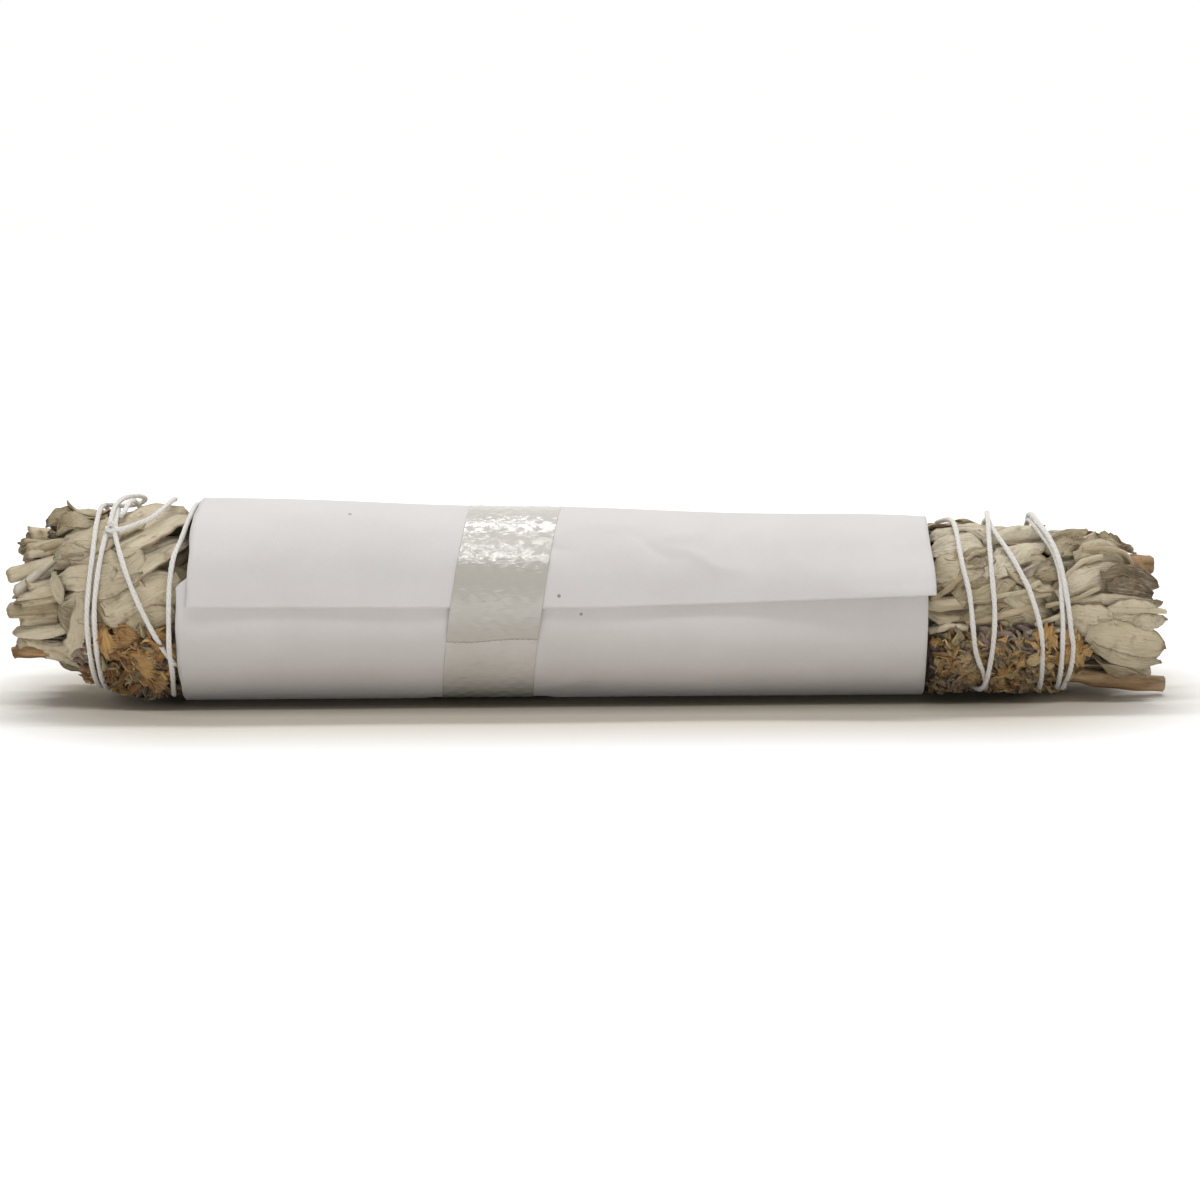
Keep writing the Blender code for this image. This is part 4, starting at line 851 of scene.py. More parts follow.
# Leaves seen from the front: base (x, angle), tip (x, angle), width, then what differs from a usual leaf
frontLeaves = {
    "topBack": ((-83.5, 108), (-96, 70), 12, {}),
    "bigSmooth": ((-79.8, 20), (-95.5, -6), 14, dict(proud=0.1, tone=0.61, curl=0.4, wave=0.12, blunt=0.4,
        pleats=0.06)),
    "lowShoulder": ((-81, 2), (-91, -12), 8, dict(tone=0.5)),
    "middleBand": ((-79.5, 54), (-98, 11), 7.4, dict(tone=0.72, curl=0.35, side=1, blunt=0.3, fold=0.3,
        crease=0.3, wave=0.1)),
    "shoulder": ((-79.5, 93), (-95, 39), 12.5, dict(proud=0.4, bend=0.6, tone=0.7, curl=0.35, side=1,
        blunt=0.35, wave=0.15)),
    "oval": ((-99, 16), (-87.2, 36), 9.5, dict(proud=0.5, tone=0.64, blunt=0.45)),
    "leftUpper": ((-91, 60), (-104.5, 42), 8.5, dict(proud=0.5, tone=0.64, side=1, curl=0.4, ragged=0.08)),
    "leftMiddle": ((-92, 36), (-102.5, 33), 7, dict(tone=0.62, curl=0.8, ragged=0.1)),
    "curlUp": ((-98, 40), (-105.5, 33), 4.5, dict(proud=0.8, tone=0.55, side=1, curl=1.3, ragged=0.1)),
    "fan": ((-105.5, 16), (-92.5, 27), 6, dict(proud=0.5, tone=0.68, fold=0.9, crease=-0.2)),
    "long": ((-104, 2), (-87.5, 25), 5, dict(proud=0.5, tone=0.58, curl=1.2, fold=0.4)),
    "darkFold": ((-105, 22), (-103.6, 2), 4, dict(proud=0.9, curl=1.4, fold=0.8)),
    "crescent": ((-99.5, 8), (-104.6, -54), 7.5, dict(proud=1.2, bend=2.4, tone=0.7, wave=0.3)),
    "underKnot": ((-88, 62), (-99.5, 66), 9, {}),
    "tuft": ((-96, 76), (-108.2, 79), 6.5, dict(side=1, curl=1.2, wave=0.5, ragged=0.2, tone=0.5)),
    "tuftLow": ((-98, 66), (-105.5, 60), 6, dict(side=1, curl=1.3, wave=0.5, tone=0.4)),
    "tuftHigh": ((-95, 90), (-104, 88), 7.5, dict(wave=0.5, tone=0.55)),
    "bottomLeft": ((-95, -62), (-108.5, -68), 9, dict(tone=0.55)),
    "sleeveTop": ((66.5, 74), (77, 75), 9, dict(tone=0.8)),
    "roof": ((72.5, 80), (85, 84), 9, dict(tone=0.8, curl=0.6)),
    "sleevePale": ((66.2, 52), (77.5, 57), 8.5, dict(proud=0.4, tone=0.82, side=1, curl=0.4)),
    "sleeveLow": ((65.8, 33), (77.5, 36), 9, dict(tone=0.62)),
    "smallHigh": ((72.5, 46), (79.5, 53), 3.6, dict(proud=0.5, curl=1.4, tone=0.4)),
    "smallMiddle": ((73, 36), (79.5, 43), 3.2, dict(proud=0.4, curl=1.4, side=1, tone=0.3)),
    "smallLow": ((72.5, 22), (79.5, 30), 3, dict(proud=0.4, curl=1.4, tone=0.25)),
    "sloped": ((77.8, 28), (84.5, 60), 7.6, dict(proud=0.4, tone=0.8, curl=0.6)),
    "slopedNext": ((80.5, 40), (89.5, 66), 7, dict(proud=0.4, tone=0.78, curl=0.8)),
    "greyTip": ((90, 43), (97, 47), 4.6, dict(proud=0.4, tone=0.9, curl=1.3)),
    "underPair": ((87, 33), (93.5, 38), 5, dict(tone=0.35, curl=1.0)),
    "angleLeaf": ((91, 52), (96.5, 61), 6, dict(side=1, tone=0.4, blunt=0.35)),
    "fragment": ((94.5, 55), (103.5, 68), 4.5, dict(proud=1.0, wave=0.7, side=1, tone=0.4, ragged=0.12,
        lift=0.5)),
    "cone": ((100.5, 62), (107.5, 78), 5.5, dict(proud=1.0, side=1, curl=1.5, tone=0.25, ragged=0.2,
        lift=0.6)),
    "lightEdge": ((95, 43), (105.5, 54), 7, dict(side=1, curl=0.7, tone=0.62)),
    "broad": ((91.5, 16), (104.5, 40), 8, dict(proud=0.5, tone=0.76, curl=0.6, fold=0.3)),
    "darkCup": ((100, 30), (112, 40), 6.5, dict(side=1, curl=1.3, tone=0.05, ragged=0.08, proud=0.6)),
    "darkLow": ((101, 24), (110.5, 27), 6, dict(side=1, curl=1.2, tone=0.0, ragged=0.1, proud=0.1)),
    "rimRoll": ((93.5, 12), (112.2, 20), 4.4, dict(proud=0.6, curl=1.5, tone=0.66, ragged=0.08)),
    "foldRight": ((98, -2), (111.5, 14), 6.5, dict(fold=1.3, crease=0.3, curl=0.4, side=1, tone=0.74)),
    "foldUnder": ((99, 2), (109, 6), 5, dict(proud=0.2, fold=0.9, tone=0.5)),
    "angular": ((91.0, -3), (102.5, 1), 7.5, dict(proud=0.4, curl=0.3, side=1, tone=0.68, blunt=0.3,
        fold=0.3)),
    "flared": ((97, -8), (113.0, -19), 9.5, dict(proud=0.5, lift=0.8, fold=1.0, crease=-0.35, wave=0.4,
        curl=0.4, side=1, ragged=0.03, pleats=0.5, blunt=0.5)),
    "flaredFold": ((98, -15), (112.4, -29), 4.6, dict(proud=0.7, fold=0.6, curl=1.3, tone=0.52, ragged=0.03,
        bend=-1.2)),
    "lowFlare": ((99, -30), (110.5, -46), 6, dict(side=1, curl=1.2, tone=0.3)),
    "roundTip": ((106, 4), (113.3, 7), 4, dict(proud=0.9, curl=1.2, ragged=0.1)),
}

# Rolled leaves at the ends: inner place, open end (x, angle), radius, tone, opening, flatness, bend
frontRolls = {
    "high": ((-96, 57), (-111.6, 46), 2.9, 0.42, 3.7, 0.72, 0.6),
    "pale": ((-102, 52), (-110.4, 41), 1.6, 0.72, 0.9, 0.8, -0.3),
    "folded": ((-101, 20), (-113.2, 4), 2.1, 0.62, 5.4, 0.6, 0.9),
    "foldedUnder": ((-103, 8), (-112.6, -1), 1.7, 0.5, 1.6, 0.7, -0.5),
    "smooth": ((-102.5, 44), (-112.6, 9), 1.9, 0.92, 3.0, 0.95, 0.4),
    "blunt": ((-99, 42), (-114.2, 27), 1.95, 0.66, 4.6, 0.9, 0.5),
    "block": ((-100, -4), (-114.0, -11), 3.1, 0.48, 2.6, 0.62, -0.4),
    "lower": ((-101, -14), (-113.0, -29), 1.9, 0.72, 4.2, 0.65, 1.0),
    "under": ((-101, -36), (-112.2, -37), 1.7, 0.6, 0.6, 0.7, 0.6),
    "wrap": ((-98, -44), (-113.2, -53), 2.5, 0.64, 3.4, 0.85, -0.6),
    "rightTop": ((77.5, 68), (90, 86), 2.3, 0.82, 3.2, 0.75, 0.3),
    "rightPair": ((89.5, 74), (98.4, 97), 1.9, 0.6, 2.2, 0.8, 0.4),
    "rightTwin": ((91.5, 62), (100.6, 92), 1.9, 0.56, 4.4, 0.7, -0.4),
    "greyRoll": ((80.5, 22), (92.5, 50), 1.9, 0.96, 2.4, 0.6, 0.8),
    "stub": ((92.5, 12), (97.5, 21), 1.5, 0.7, 1.0, 0.8, 0.0),
}

# What both ends are packed with, from the core out: a first layer (base x, tip x) and its widths, rows of
# leaves round the back (base x, tip x, width, step), then rolls over the end face in two layers (inner x,
# outer x, rings, sizes), each ring a radius, how many and the first angle
packing = {
    "left": {
        "core": (-104, -76), "first": ((-78, -90), (-86, -98), (-94, -106)), "widths": (8, 12),
        "back": ((-79, -92, 10.5, 34), (-87, -99, 9.5, 36), (-95, -107, 8.5, 36)),
        "face": ((-98, -109.0, ((12.4, 13, 8), (8.8, 10, 0), (5.0, 6, 15), (0.8, 1, 40)), (2.1, 3.4)),
                 (-99, -111.3, ((10.6, 9, 25), (7.0, 6, 10), (3.0, 3, 0)), (2.0, 3.1))),
    },
    "right": {
        "core": (60, 97), "first": ((63, 76), (72, 84), (80, 93), (89, 102)), "widths": (7, 11),
        "back": ((64, 77, 9, 38), (73, 85, 8, 38), (82, 94, 8, 38), (90, 104, 7.5, 38), (97, 110, 7.5, 40)),
        "face": ((89, 103.0, ((10.6, 12, 0), (7.2, 9, 20), (3.8, 5, 30), (0.6, 1, 0)), (2.2, 3.6)),
                 (89, 106.0, ((8.8, 7, 12), (4.6, 4, 50)), (2.0, 3.2))),
    },
}

# Bare leaf stalks: their places (x, angle), radius and tone
stalks = (
    (((66.5, 15), (70.2, 22), (73.6, 32)), 0.55, 0.35), (((73.4, 42), (77.9, 51)), 0.45, 0.45),
    (((87.0, -4), (91, 2), (95.5, 8)), 0.5, 0.55), (((84.8, -11), (92.2, -7)), 0.6, 0.75),
    (((66.2, -9.5), (69.8, -4), (73.8, -7)), 0.75, 0.7), (((89, 10), (95, 15), (99.5, 23)), 0.45, 0.4),
    (((92.5, 30), (96.5, 41), (100.5, 47)), 0.5, 0.5), (((79, 16), (85, 20), (88, 27)), 0.45, 0.5),
    (((-112.6, -20), (-107.5, -11)), 0.5, 0.35), (((-103.5, 32), (-99.5, 37)), 0.45, 0.12),
    (((96.5, 50), (103, 54), (108, 56)), 0.5, 0.45), (((101, 10), (112.6, 14)), 0.55, 0.5),
)


def stalk(spots, radius, tone):
    # a thin uneven tube on the stack along its places
    x, angle = spreadPlaces(spots, 16)
    level = np.minimum(readStack(x, angle) + 0.3, pinchRoom(stringDistance(x, angle)) - 0.2)
    turn = around(10)
    share = np.linspace(0, 1, 16)[:, None]
    radii = radius * (1 + 0.12 * sin(turn * 3 + share * 5) + 0.1 * sin(share * 17))
    return tube(onCore(x, angle, level), radii, np.array([0.1, -0.8, 0.6]),
                tone=tone, along=0.5, across=0.3, depth=0.0)


def underLeaves(rows, widths):
    # a first layer all round, so that no core shows: rows of leaves, each from one x to another
    parts = []
    for baseX, tipX in rows:
        angle = draw(0, 30)
        stop = angle + 360
        while angle < stop:
            slant = draw(-30, 30)
            if not inBed((baseX + tipX) / 2, angle, -4):
                base = (baseX + draw(-1.5, 1.5), angle)
                tip = (tipX + draw(-1.5, 1.5), angle + slant)
                parts.append(layLeaf(base, tip, draw(*widths), proud=draw(-0.1, 0.2),
                                     tone=draw(0.2, 0.6), curl=draw(0.3, 0.9), rows=16, columns=9,
                                     side=-1.0 if draw() < 0.7 else 1.0))
            angle += bundle["firstStep"] * draw(0.8, 1.2)
    return parts


def scatteredLeaves(rows):
    # leaves of the back, top and underside in rows
    parts = []
    for row, (baseX, tipX, width, step) in enumerate(rows):
        angle = 96.0 + 14 * (row % 3)
        while angle < 318:
            slide = draw(-1.2, 1.2)
            if not (inBed(baseX, angle, 3) or inBed(tipX, angle, 3)):
                tip = (tipX + slide, angle + draw(-22, 22))
                parts.append(layLeaf((baseX + slide, angle), tip, width * draw(0.8, 1.3),
                                     proud=draw(0.0, 0.35), bend=draw(-1, 1),
                                     curl=draw(0.3, 1.2), side=-1.0 if draw() < 0.6 else 1.0,
                                     fold=draw(-0.2, 0.7), crease=draw(-0.4, 0.4),
                                     tone=draw(0.3, 0.9), wave=draw(0.15, 0.4)))
            angle += step * draw(0.7, 1.0)
    return parts


def endRolls(innerX, outerX, rings, sizes):
    # rolled leaves over an end face, facing out
    parts = []
    for ringRadius, count, first in rings:
        for k in range(count):
            angle = first + 360 * k / count + draw(-9, 9)
            far = outerX + draw(-2.2, 2.2)
            size = draw(*sizes)
            begin = place(innerX, angle, ringRadius * 0.9)
            end = place(far, angle + draw(-8, 8), ringRadius)
            parts.append(rolledLeaf(begin, end, size, turns=dice.choice((0.55, 0.7, 0.95, 1.3, 1.9)),
                                    flat=draw(0.4, 1.0), tone=draw(0.3, 0.85),
                                    opening=draw(0, 6.28), flare=draw(0.0, 0.3),
                                    aim=(0.0, draw(-1, 1), draw(-1, 1)), bend=draw(-1, 1)))
    return parts


def makeLeaves():
    # the first layer and the rows behind, the leaves seen in front, rolls and stalks, and the end faces
    ends = {side: underLeaves(plan["first"], plan["widths"]) + scatteredLeaves(plan["back"])
            for side, plan in packing.items()}

    def add(x, part):
        ends["left" if x < 0 else "right"].append(part)

    for base, tip, width, ways in frontLeaves.values():
        add(base[0], layLeaf(base, tip, width, rows=30, columns=15, **ways))
    for inner, outer, radius, tone, opening, flat, bend in frontRolls.values():
        begin = place(*inner, bundleRadius(inner[0]) - radius - 1.6)
        end = place(*outer, bundleRadius(outer[0]) - radius)
        outward = place(*outer, 1.0) - place(*outer, 0.0)
        add(inner[0], rolledLeaf(begin, end, radius * 1.05, 1.5, flat, tone, opening, outward, bend,
                                 rows=20, columns=34))
    for spots, radius, tone in stalks:
        add(spots[0][0], stalk(spots, radius, tone))
    for side, plan in packing.items():
        for layer in plan["face"]:
            ends[side] += endRolls(*layer)
        parts = ends[side] + [corePart(*plan["core"])]
        makePiece("sage_" + side + "_end", parts, "sage", ["sage_leaves"])


makeLeaves()

# Cut stems: x, angle and depth below the leaves' radius at four places, then radius and paleness
stems = {
    "stem_upper": (((86, 45, 5.2), (94, 49, 3.9), (103, 56, 3), (111, 66, 2.2)), 2.0, 0.28),
    "stem_lower": (((80, -50, 5.2), (92, -54, 2.6), (100, -57, 1), (113.8, -63, 0.1)), 1.6, 0.3),
    "stem_front": (((60, 9, 4.6), (70, 12, 2.8), (80, 16, 2.4), (90, 22, 2.6)), 1.5, 0.85),
    "stem_tan": (((73.5, -2, 2.6), (78, 1, 1.7), (83, 6, 1.7), (87, 10, 1.7)), 0.8, 0.65),
    "stem_thin": (((92.8, 21, 2.4), (94.6, 31, 1.6), (96.4, 40, 1.2), (98.2, 47, 0.6)), 0.75, 0.8),
    "stem_left": (((-92, -44, 6.4), (-100, -47, 4.4), (-107, -50, 2.4), (-114.8, -54, 0.6)), 1.2, 0.1),
}


# A stem's last rings: how far each lies past the stem's end, its size and how much of it is pith
stemEnding = {
    "past": (0.02, 0.10, 0.12, 0.06), "sizes": (0.93, 0.78, 0.45, 0.15), "pith": (0.6, 1.0, 0.9, 0.3),
}


def makeStems():
    # a tube with ridges along it and a rough cut: its last rings close over the end with a sunk pith
    rings, sides = 40, 24
    turn = around(sides)
    u = np.concatenate([np.linspace(0, 1, rings), np.ones(4)])[:, None]
    ridges = 1 + 0.07 * sin(turn * 5 + u * 2) + 0.05 * sin(turn * 11 - u * 5) + 0.05 * sin(u * 31)
    shrink = np.concatenate([np.ones(rings), stemEnding["sizes"]])[:, None]
    pith = np.concatenate([np.zeros(rings), stemEnding["pith"]])[:, None]
    for name, (spots, radius, paleness) in stems.items():
        x, angle, sink = spreadPlaces(spots, rings)
        centres = place(x, angle, bundleRadius(x) - sink)
        along = unit(centres[-1] - centres[-2])
        centres = np.concatenate([centres, centres[-1] + along * np.array(stemEnding["past"])[:, None]])
        part = tube(centres, radius * 0.97 * ridges * shrink, np.array([0.0, -0.6, 0.8]),
                    tone=paleness, pith=pith)
        makePiece(name + "_wood", [part], "stem", [name])


makeStems()

# Lavender: each bed's reach (x from and to, angle from and to), how many crumpled petals and their tones,
# clusters of cups (x, angle, spread, count) and bracts (x, angle, heading, length, width, rise, tone)
lavender = {
    "lavender_left": {
        "bed": (-99.6, -82.2, -84, -9), "petals": 260, "tones": (0.1, 0.85),
        "cups": ((-98.5, -24, 2.6, 26), (-96.5, -52, 3.0, 30), (-90, -58, 3.4, 34), (-84.5, -62, 2.6, 26),
                 (-100, -40, 2.0, 14), (-87, -66, 3.0, 20)),
        "bracts": ((-95.6, -7, 275, 7.5, 6.6, 1.1, 0.62), (-90.5, -17, 195, 7, 4.4, 0.7, 0.5),
                   (-87.4, -12, 185, 6, 4.0, 0.6, 0.42), (-83.8, -14, 250, 6, 5, 0.8, 0.6),
                   (-90.5, -27, 330, 7, 5, 0.9, 0.66), (-85.8, -24, 205, 6.5, 4.5, 0.8, 0.55),
                   (-83.2, -33, 190, 6, 4.2, 0.6, 0.45), (-91.5, -36, 20, 5, 3.6, 0.4, 0.75),
                   (-87.2, -40, 300, 6.5, 3.6, 0.9, 0.68), (-84.2, -46, 160, 6, 4.6, 0.6, 0.5),
                   (-97.2, -16, 170, 4.5, 3.6, 0.2, 0.3), (-89, -50, 240, 4.5, 3.4, 0.3, 0.8)),
    },
    "lavender_right": {
        "bed": (68.2, 95.0, -84, -9), "petals": 380, "tones": (0.4, 1.0),
        "cups": ((80, -13, 3.6, 52), (75, -26, 3.0, 40), (86, -20, 2.6, 26), (71, -60, 3.0, 30),
                 (89, -44, 3.0, 20), (82, -64, 3.2, 20), (72, -36, 2.6, 16)),
        "bracts": ((69.4, -44, 20, 6.5, 5.5, 0.9, 0.9), (73.5, -42, 350, 6, 4.5, 0.9, 0.8),
                   (76, -54, 25, 6, 4.6, 0.7, 0.95), (83.5, -56, 310, 6.5, 4.6, 1.0, 0.72),
                   (84.5, -34, 30, 6, 4.2, 0.7, 0.98), (88.4, -24, 80, 6.5, 4.8, 1.0, 0.62),
                   (93.6, -14, 290, 7, 5, 1.2, 0.7), (92.6, -34, 60, 6.5, 4.6, 1.1, 0.55),
                   (90.4, -50, 340, 6, 4.2, 0.7, 0.7), (77.6, -30, 200, 5, 3.6, 0.5, 0.92),
                   (86, -66, 350, 6, 4, 0.6, 0.85), (81, -44, 80, 5.5, 4, 0.6, 0.8),
                   (95.4, -24, 110, 6, 4, 1.0, 0.8), (70.2, -20, 330, 5.5, 3.4, 0.5, 1.0)),
    },
}


def cupShape():
    # a flower cup along +z: narrow foot, swollen body with ribs, drawn-in mouth
    z = np.array([0.0, 0.12, 0.4, 0.75, 1.0])
    size = np.array([0.25, 0.8, 1.0, 0.85, 0.5])
    turn = around(7)
    radii = size[:, None] * (1 + 0.1 * cos(turn * 3 + z[:, None]))
    return tube(np.outer(z, (0, 0, 1)), radii, np.array([1.0, 0.0, 0.0]), along=z[:, None])


def petalShape(arch, cupping, twist):
    # a crumpled petal along +z: it arches over its length, is cupped across and turns as it runs on
    u, v = gridWays(5, 4)
    half = 0.25 + 0.75 * sin(pi * (0.12 + 0.76 * u) ** 1.2)
    across = half * sin(cupping * v) / cupping
    high = arch * sin(pi * u * 0.9) + half * (1 - cos(cupping * v)) / cupping
    high = high + 0.22 * sin(u * 9 + v * 2)
    turn = twist * u
    grid = np.stack([across * cos(turn) - high * sin(turn), across * sin(turn) + high * cos(turn),
                     u + 0.08 * v * v], axis=-1)
    return shell(grid, 0.14, along=u, across=v)


def scattered(shape, x, angle, sink, tilt, size, **values):
    # copies of a shape over the bed: tilt 0 lies along the surface, 1.57 stands straight out
    count = len(x)
    distance = stringDistance(x, angle)
    clear = smoothStep((distance - 1.0) / 2.2)
    tilt = tilt * clear
    height = np.minimum(bundle["coreDepth"] - sink, pinchRoom(distance) - 0.9 + 0.5 * clear)
    centre = onCore(x, angle, height, 1.2)
    outward = unit(centre - axisPlace(x))
    lengthwise = np.array([1.0, 0.0, 0.0])
    roundWay = np.cross(outward, lengthwise)
    heading = draw(0, 2 * pi, count)[:, None]
    flat = lengthwise * cos(heading) + roundWay * sin(heading)
    aim = unit(flat * cos(tilt)[:, None] + outward * sin(tilt)[:, None])
    spin = draw(0, 2 * pi, count)[:, None]
    side = unit(np.cross(aim, outward + 0.01))
    other = np.cross(aim, side)
    across = side * cos(spin) + other * sin(spin)
    axes = np.stack([across, np.cross(aim, across), aim], axis=1)
    part = copies(shape, centre - aim * size[:, 2:] * 0.4, axes, size, **values)
    part["points"][:, 2] = np.maximum(part["points"][:, 2], 0.5)
    return part


def flowerCups(clusters):
    # cups scattered densest in the middle of each cluster
    parts = []
    for x, angle, spread, count in clusters:
        spotX = x + dice.normal(0, spread * 0.6, count)
        spotA = angle + np.degrees(dice.normal(0, spread * 0.45, count) / 18.0)
        size = draw(0.4, 0.75, count)
        sizes = np.stack([size, size * 0.85, draw(1.8, 3.4, count)], axis=1)
        sink = draw(0.7, 2.2, count)
        tilt = draw(-0.2, 1.1, count)
        parts.append(scattered(cupShape(), spotX, spotA, sink, tilt, sizes, tone=draw(0, 0.75, count)))
    return parts


def petals(bed, number, tones):
    # four kinds of crumpled petal, evenly scattered over the bed
    parts = []
    firstX, lastX, low, high = bed
    count = number // 4
    for arch, cupping, twist in ((0.5, 1.1, 0.8), (-0.6, 1.6, -1.4), (0.9, 0.8, 2.0), (0.2, 2.0, 0.3)):
        x = draw(firstX, lastX, count)
        angle = draw(low, high, count)
        width = draw(0.7, 1.6, count)
        sizes = np.stack([width, width, draw(2.2, 5.0, count)], axis=1)
        shade = tones[0] + (tones[1] - tones[0]) * draw(0, 1, count)
        papery = np.where(draw(0, 1, count) < 0.8, 1.0, 0.0)
        parts.append(scattered(petalShape(arch, cupping, twist), x, angle, draw(0.5, 2.3, count),
                               draw(-0.3, 0.9, count), sizes, tone=shade, papery=papery))
    return parts


def underBed(bed):
    # what shows between the petals: a dark rough sheet, painted shade in the gaps between the petals
    firstX, lastX, low, high = bed
    x = np.linspace(firstX - 1.5, lastX + 1.5, 40)[:, None]
    angle = np.linspace(low - 8, high + 6, 60)[None, :]
    rough = 0.45 * sin(x * 2.1 + angle * 0.31) + 0.4 * sin(x * 1.1 - angle * 0.53)
    grid = place(x, angle, bundleRadius(x) - 2.7 + rough, 1.6)
    return shell(grid, 0.5, tone=0.12, papery=0.0, along=0.3, across=0.2)


def paperyBract(x, angle, heading, length, width, proud, tone):
    # a fan: narrow at its foot, wide and lobed at its end, ribbed lengthwise, its sides curling in over it
    u, v = gridWays(14, 15)
    radius = float(bundleRadius(x))
    phase = draw(0, 6.28, 6)
    half = width / 2 * (0.22 + 0.88 * smoothStep(u * 1.3)) * (1 - 0.4 * smoothStep((u - 0.72) / 0.28))
    half = half * (1 + 0.10 * sin(u * 17 + phase[3]) + 0.08 * sin(u * 31 + 4 * v + phase[4]))
    curled = draw(0.7, 1.5)
    reach = length * u * (1 - 0.16 * v * v + 0.09 * sin(v * 9 + phase[0]) + 0.05 * sin(v * 21 + phase[5]))
    sideways = half * sin(curled * v) / curled
    forward = math.radians(heading)
    dx = math.cos(forward) * reach - math.sin(forward) * sideways
    ds = math.sin(forward) * reach + math.cos(forward) * sideways
    lift = -1.4 * smoothStep(1 - u / 0.35) + draw(-0.6, 1.3) * u ** 2
    lift = lift + half * (1 - cos(curled * v)) / curled * (1 if draw() < 0.6 else -1) * u
    lift = lift + 0.16 * cos(v * 11 + phase[1]) * u + 0.35 * sin(u * 5 + v * 2 + phase[2])
    spotX = x + dx
    spotA = angle + np.degrees(ds / radius)
    covered = np.minimum(smoothStep((spotX + 82.2) / 1.4), smoothStep((68.6 - spotX) / 1.4))
    room = pinchRoom(stringDistance(spotX, spotA)) + 0.25 - 2.4 * covered
    height = squeeze(bundle["coreDepth"] - 1.1 + proud + lift, room)
    return shell(onCore(spotX, spotA, height, 0.55), 0.16, tone=tone, papery=1.0, along=u, across=v)


def makeLavender():
    # each bract has a smaller one half under it
    for name, plan in lavender.items():
        parts = [underBed(plan["bed"])] + flowerCups(plan["cups"])
        parts += petals(plan["bed"], plan["petals"], plan["tones"])
        for x, angle, heading, length, width, rise, tone in plan["bracts"]:
            parts.append(paperyBract(x, angle, heading, length, width, rise, tone))
            parts.append(paperyBract(x + draw(-2, 2), angle + draw(-8, 8),
                                     heading + draw(-80, 80), length * draw(0.5, 0.75),
                                     width * draw(0.5, 0.8), rise - 0.6, tone * draw(0.5, 1.1)))
        makePiece(name + "_flowers", parts, "lavender", [name])


# a fresh start, so that the flowers don't change with the number of leaves
dice = np.random.default_rng(12)
makeLavender()

# Stage: a white table with a painted shadow and glow, a white surround, two soft strips of light above, and
# the camera
view = {
    "aim": (1.7, 0, 18.8), "distance": 770.0, "elevation": 10.0, "lens": 115.5, "roll": -0.38,
    "table": 0.86, "tableHalf": 1100.0, "contactShadow": (0.16, 0.145, 0.115), "shaded": (0.60, 0.555, 0.475),
    "bundleHalf": 0.074, "contactReach": (0.011, 0.023), "shadeReach": (0.026, 0.056),
    "nearReach": (0.030, 0.075), "nearGlow": 0.22, "farReach": (0.15, 0.6), "farGlow": 0.65,
    "frontSky": 0.02, "frontFill": 1.9, "rearSky": 1.04, "ceiling": 0.20,
    "rearLight": (66.0, 6.6), "frontLight": (74.0, 5.4), "reach": 1.1, "stripLong": 1.0, "stripWide": 0.12,
}


def makeTable():
    # a white top with painted light: a painted shadow darker near the bundle and an emitted glow, white
    # further away, by how far its middle line is
    x = np.linspace(-view["tableHalf"], view["tableHalf"], 3)
    grid = np.stack(np.meshgrid(x, x, [0.0], indexing="ij"), axis=-1)[:, :, 0]
    mesh = bpy.data.meshes.new("table_top")
    mesh.from_pydata((grid.reshape(-1, 3) * mm).tolist(), [], gridFaces(3, 3).tolist())
    material, start = newMaterial("white_table", {"Roughness": 0.9, "Specular IOR Level": 0.1,
                                                  "Emission Strength": 1.0})
    where = start.position()
    beyond = (where.part(0).maths("ABSOLUTE") - view["bundleHalf"]).greater(0.0)
    crosswise = where.part(1)
    away = (beyond * beyond + crosswise * crosswise) ** 0.5
    # painted shadow: nearly black at the bundle's foot, grey further out, white beyond
    shade = away.clamped(*view["contactReach"]).blend(view["contactShadow"], view["shaded"])
    shade = shade.painted((away.clamped(*view["shadeReach"]), (view["table"],) * 3))
    # painted light: the table glows with its own emission, more the further from the bundle
    glow = (away.clamped(*view["nearReach"]) * view["nearGlow"]
            + away.clamped(*view["farReach"]) * view["farGlow"])
    feed(material, colour=shade, emission=glow.blend((0.0, 0.0, 0.0), (1.0, 1.0, 1.0)))
    mesh.materials.append(material)
    floor = addObject("table_top", mesh)


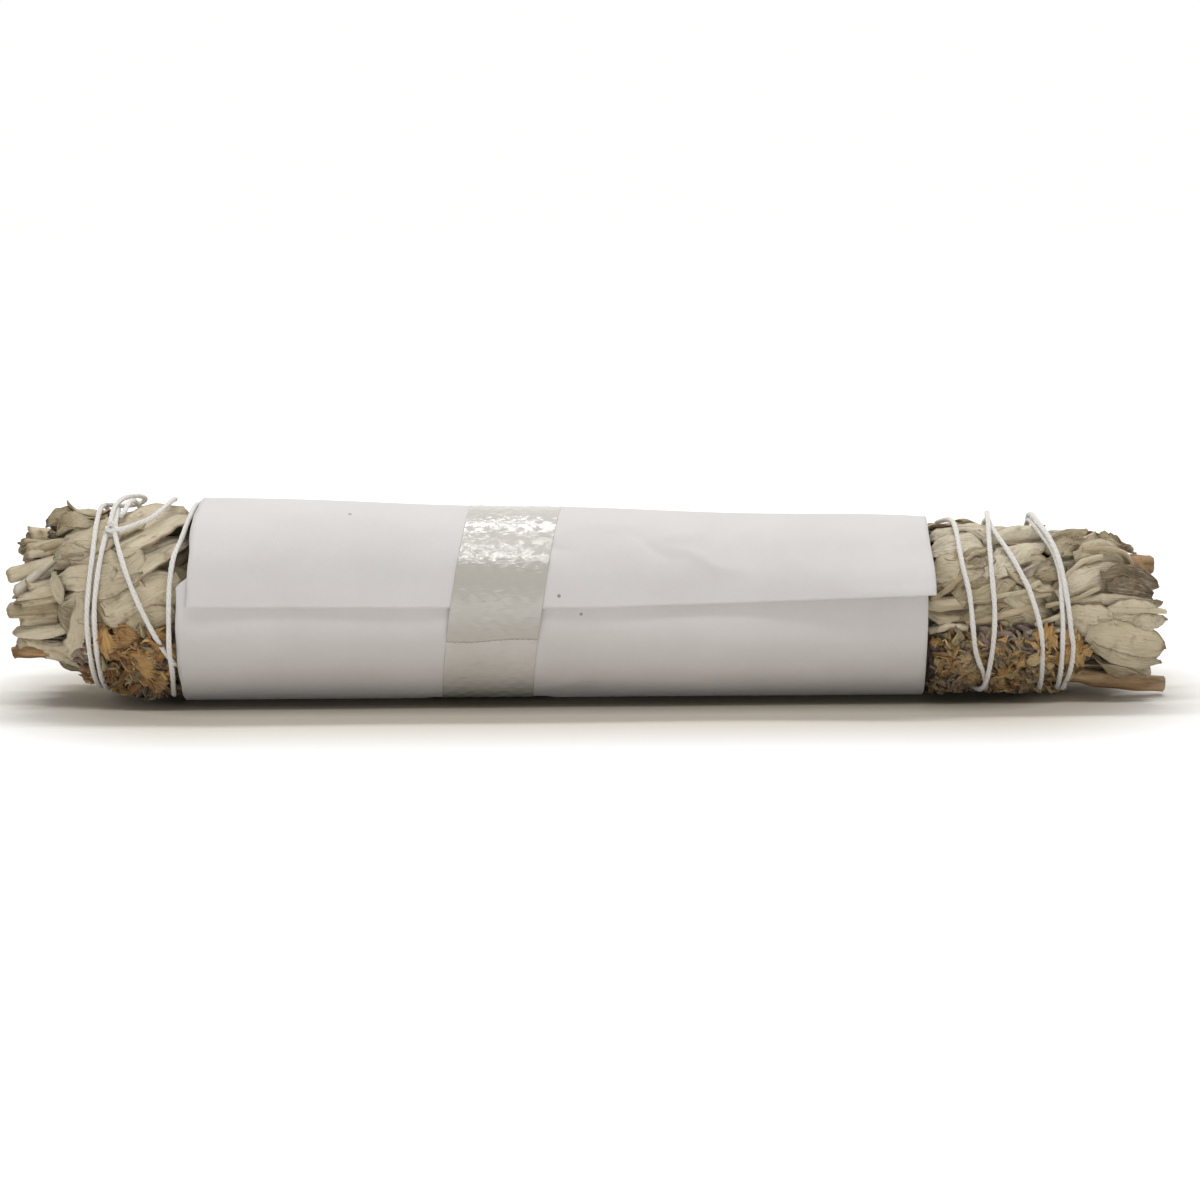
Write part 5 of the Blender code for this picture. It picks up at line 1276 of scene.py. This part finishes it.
def makeRoom():
    # white behind and beside the bundle, dim above, and in front dark but for a fill light at eye level
    world = bpy.data.worlds.new("white_room")
    bpy.context.scene.world = world
    world.use_nodes = True
    back = world.node_tree.nodes["Background"]
    heading = Signal(world.node_tree).node("ShaderNodeTexCoord", output=0)
    sideward, rearward, height = map(heading.part, range(3))
    white = rearward.clamped(-0.1, 0.75).greater(sideward.maths("ABSOLUTE").clamped(0.80, 0.93))
    wall = view["frontSky"] + white * (view["rearSky"] - view["frontSky"])
    fill = height.clamped(0.28, 0.08) * rearward.clamped(-0.1, -0.5) * view["frontFill"]
    strength = wall + height.clamped(0.35, 0.8) * (view["ceiling"] - wall) + fill
    world.node_tree.links.new(strength.socket, back.inputs["Strength"])
    back.inputs["Color"].default_value = (1, 0.985, 0.96, 1)


def makeLights():
    # one long soft strip behind the bundle and one in front, each at its elevation with its power
    target = Vector(view["aim"]) * mm
    for name, side, (elevation, power) in (("rear_strip", 1, view["rearLight"]),
                                           ("front_strip", -1, view["frontLight"])):
        lamp = bpy.data.lights.new(name, "AREA")
        lamp.shape = "RECTANGLE"
        lamp.size = view["stripLong"]
        lamp.size_y = view["stripWide"]
        lamp.energy = power
        turn = math.radians(elevation)
        holder = addObject(name, lamp)
        holder.location = target + Vector((0, side * math.cos(turn), math.sin(turn))) * view["reach"]
        holder.rotation_euler = (-side * (math.pi / 2 - turn), 0, 0)


def makeCamera():
    lens = bpy.data.cameras.new("camera")
    lens.lens = view["lens"]
    lens.sensor_width = 36.0
    lens.clip_end = 20.0
    turn = math.radians(view["elevation"])
    away = Vector((0, -math.cos(turn), math.sin(turn))) * view["distance"]
    camera = addObject("camera", lens)
    camera.matrix_world = (Matrix.Translation((Vector(view["aim"]) + away) * mm)
                           @ Matrix.Rotation(math.pi / 2 - turn, 4, "X")
                           @ Matrix.Rotation(math.radians(view["roll"]), 4, "Z"))
    bpy.context.scene.camera = camera


makeTable()
makeRoom()
makeLights()
makeCamera()
bpy.context.scene.view_settings.view_transform = "Standard"
bpy.context.view_layer.update()
print("stage ready")
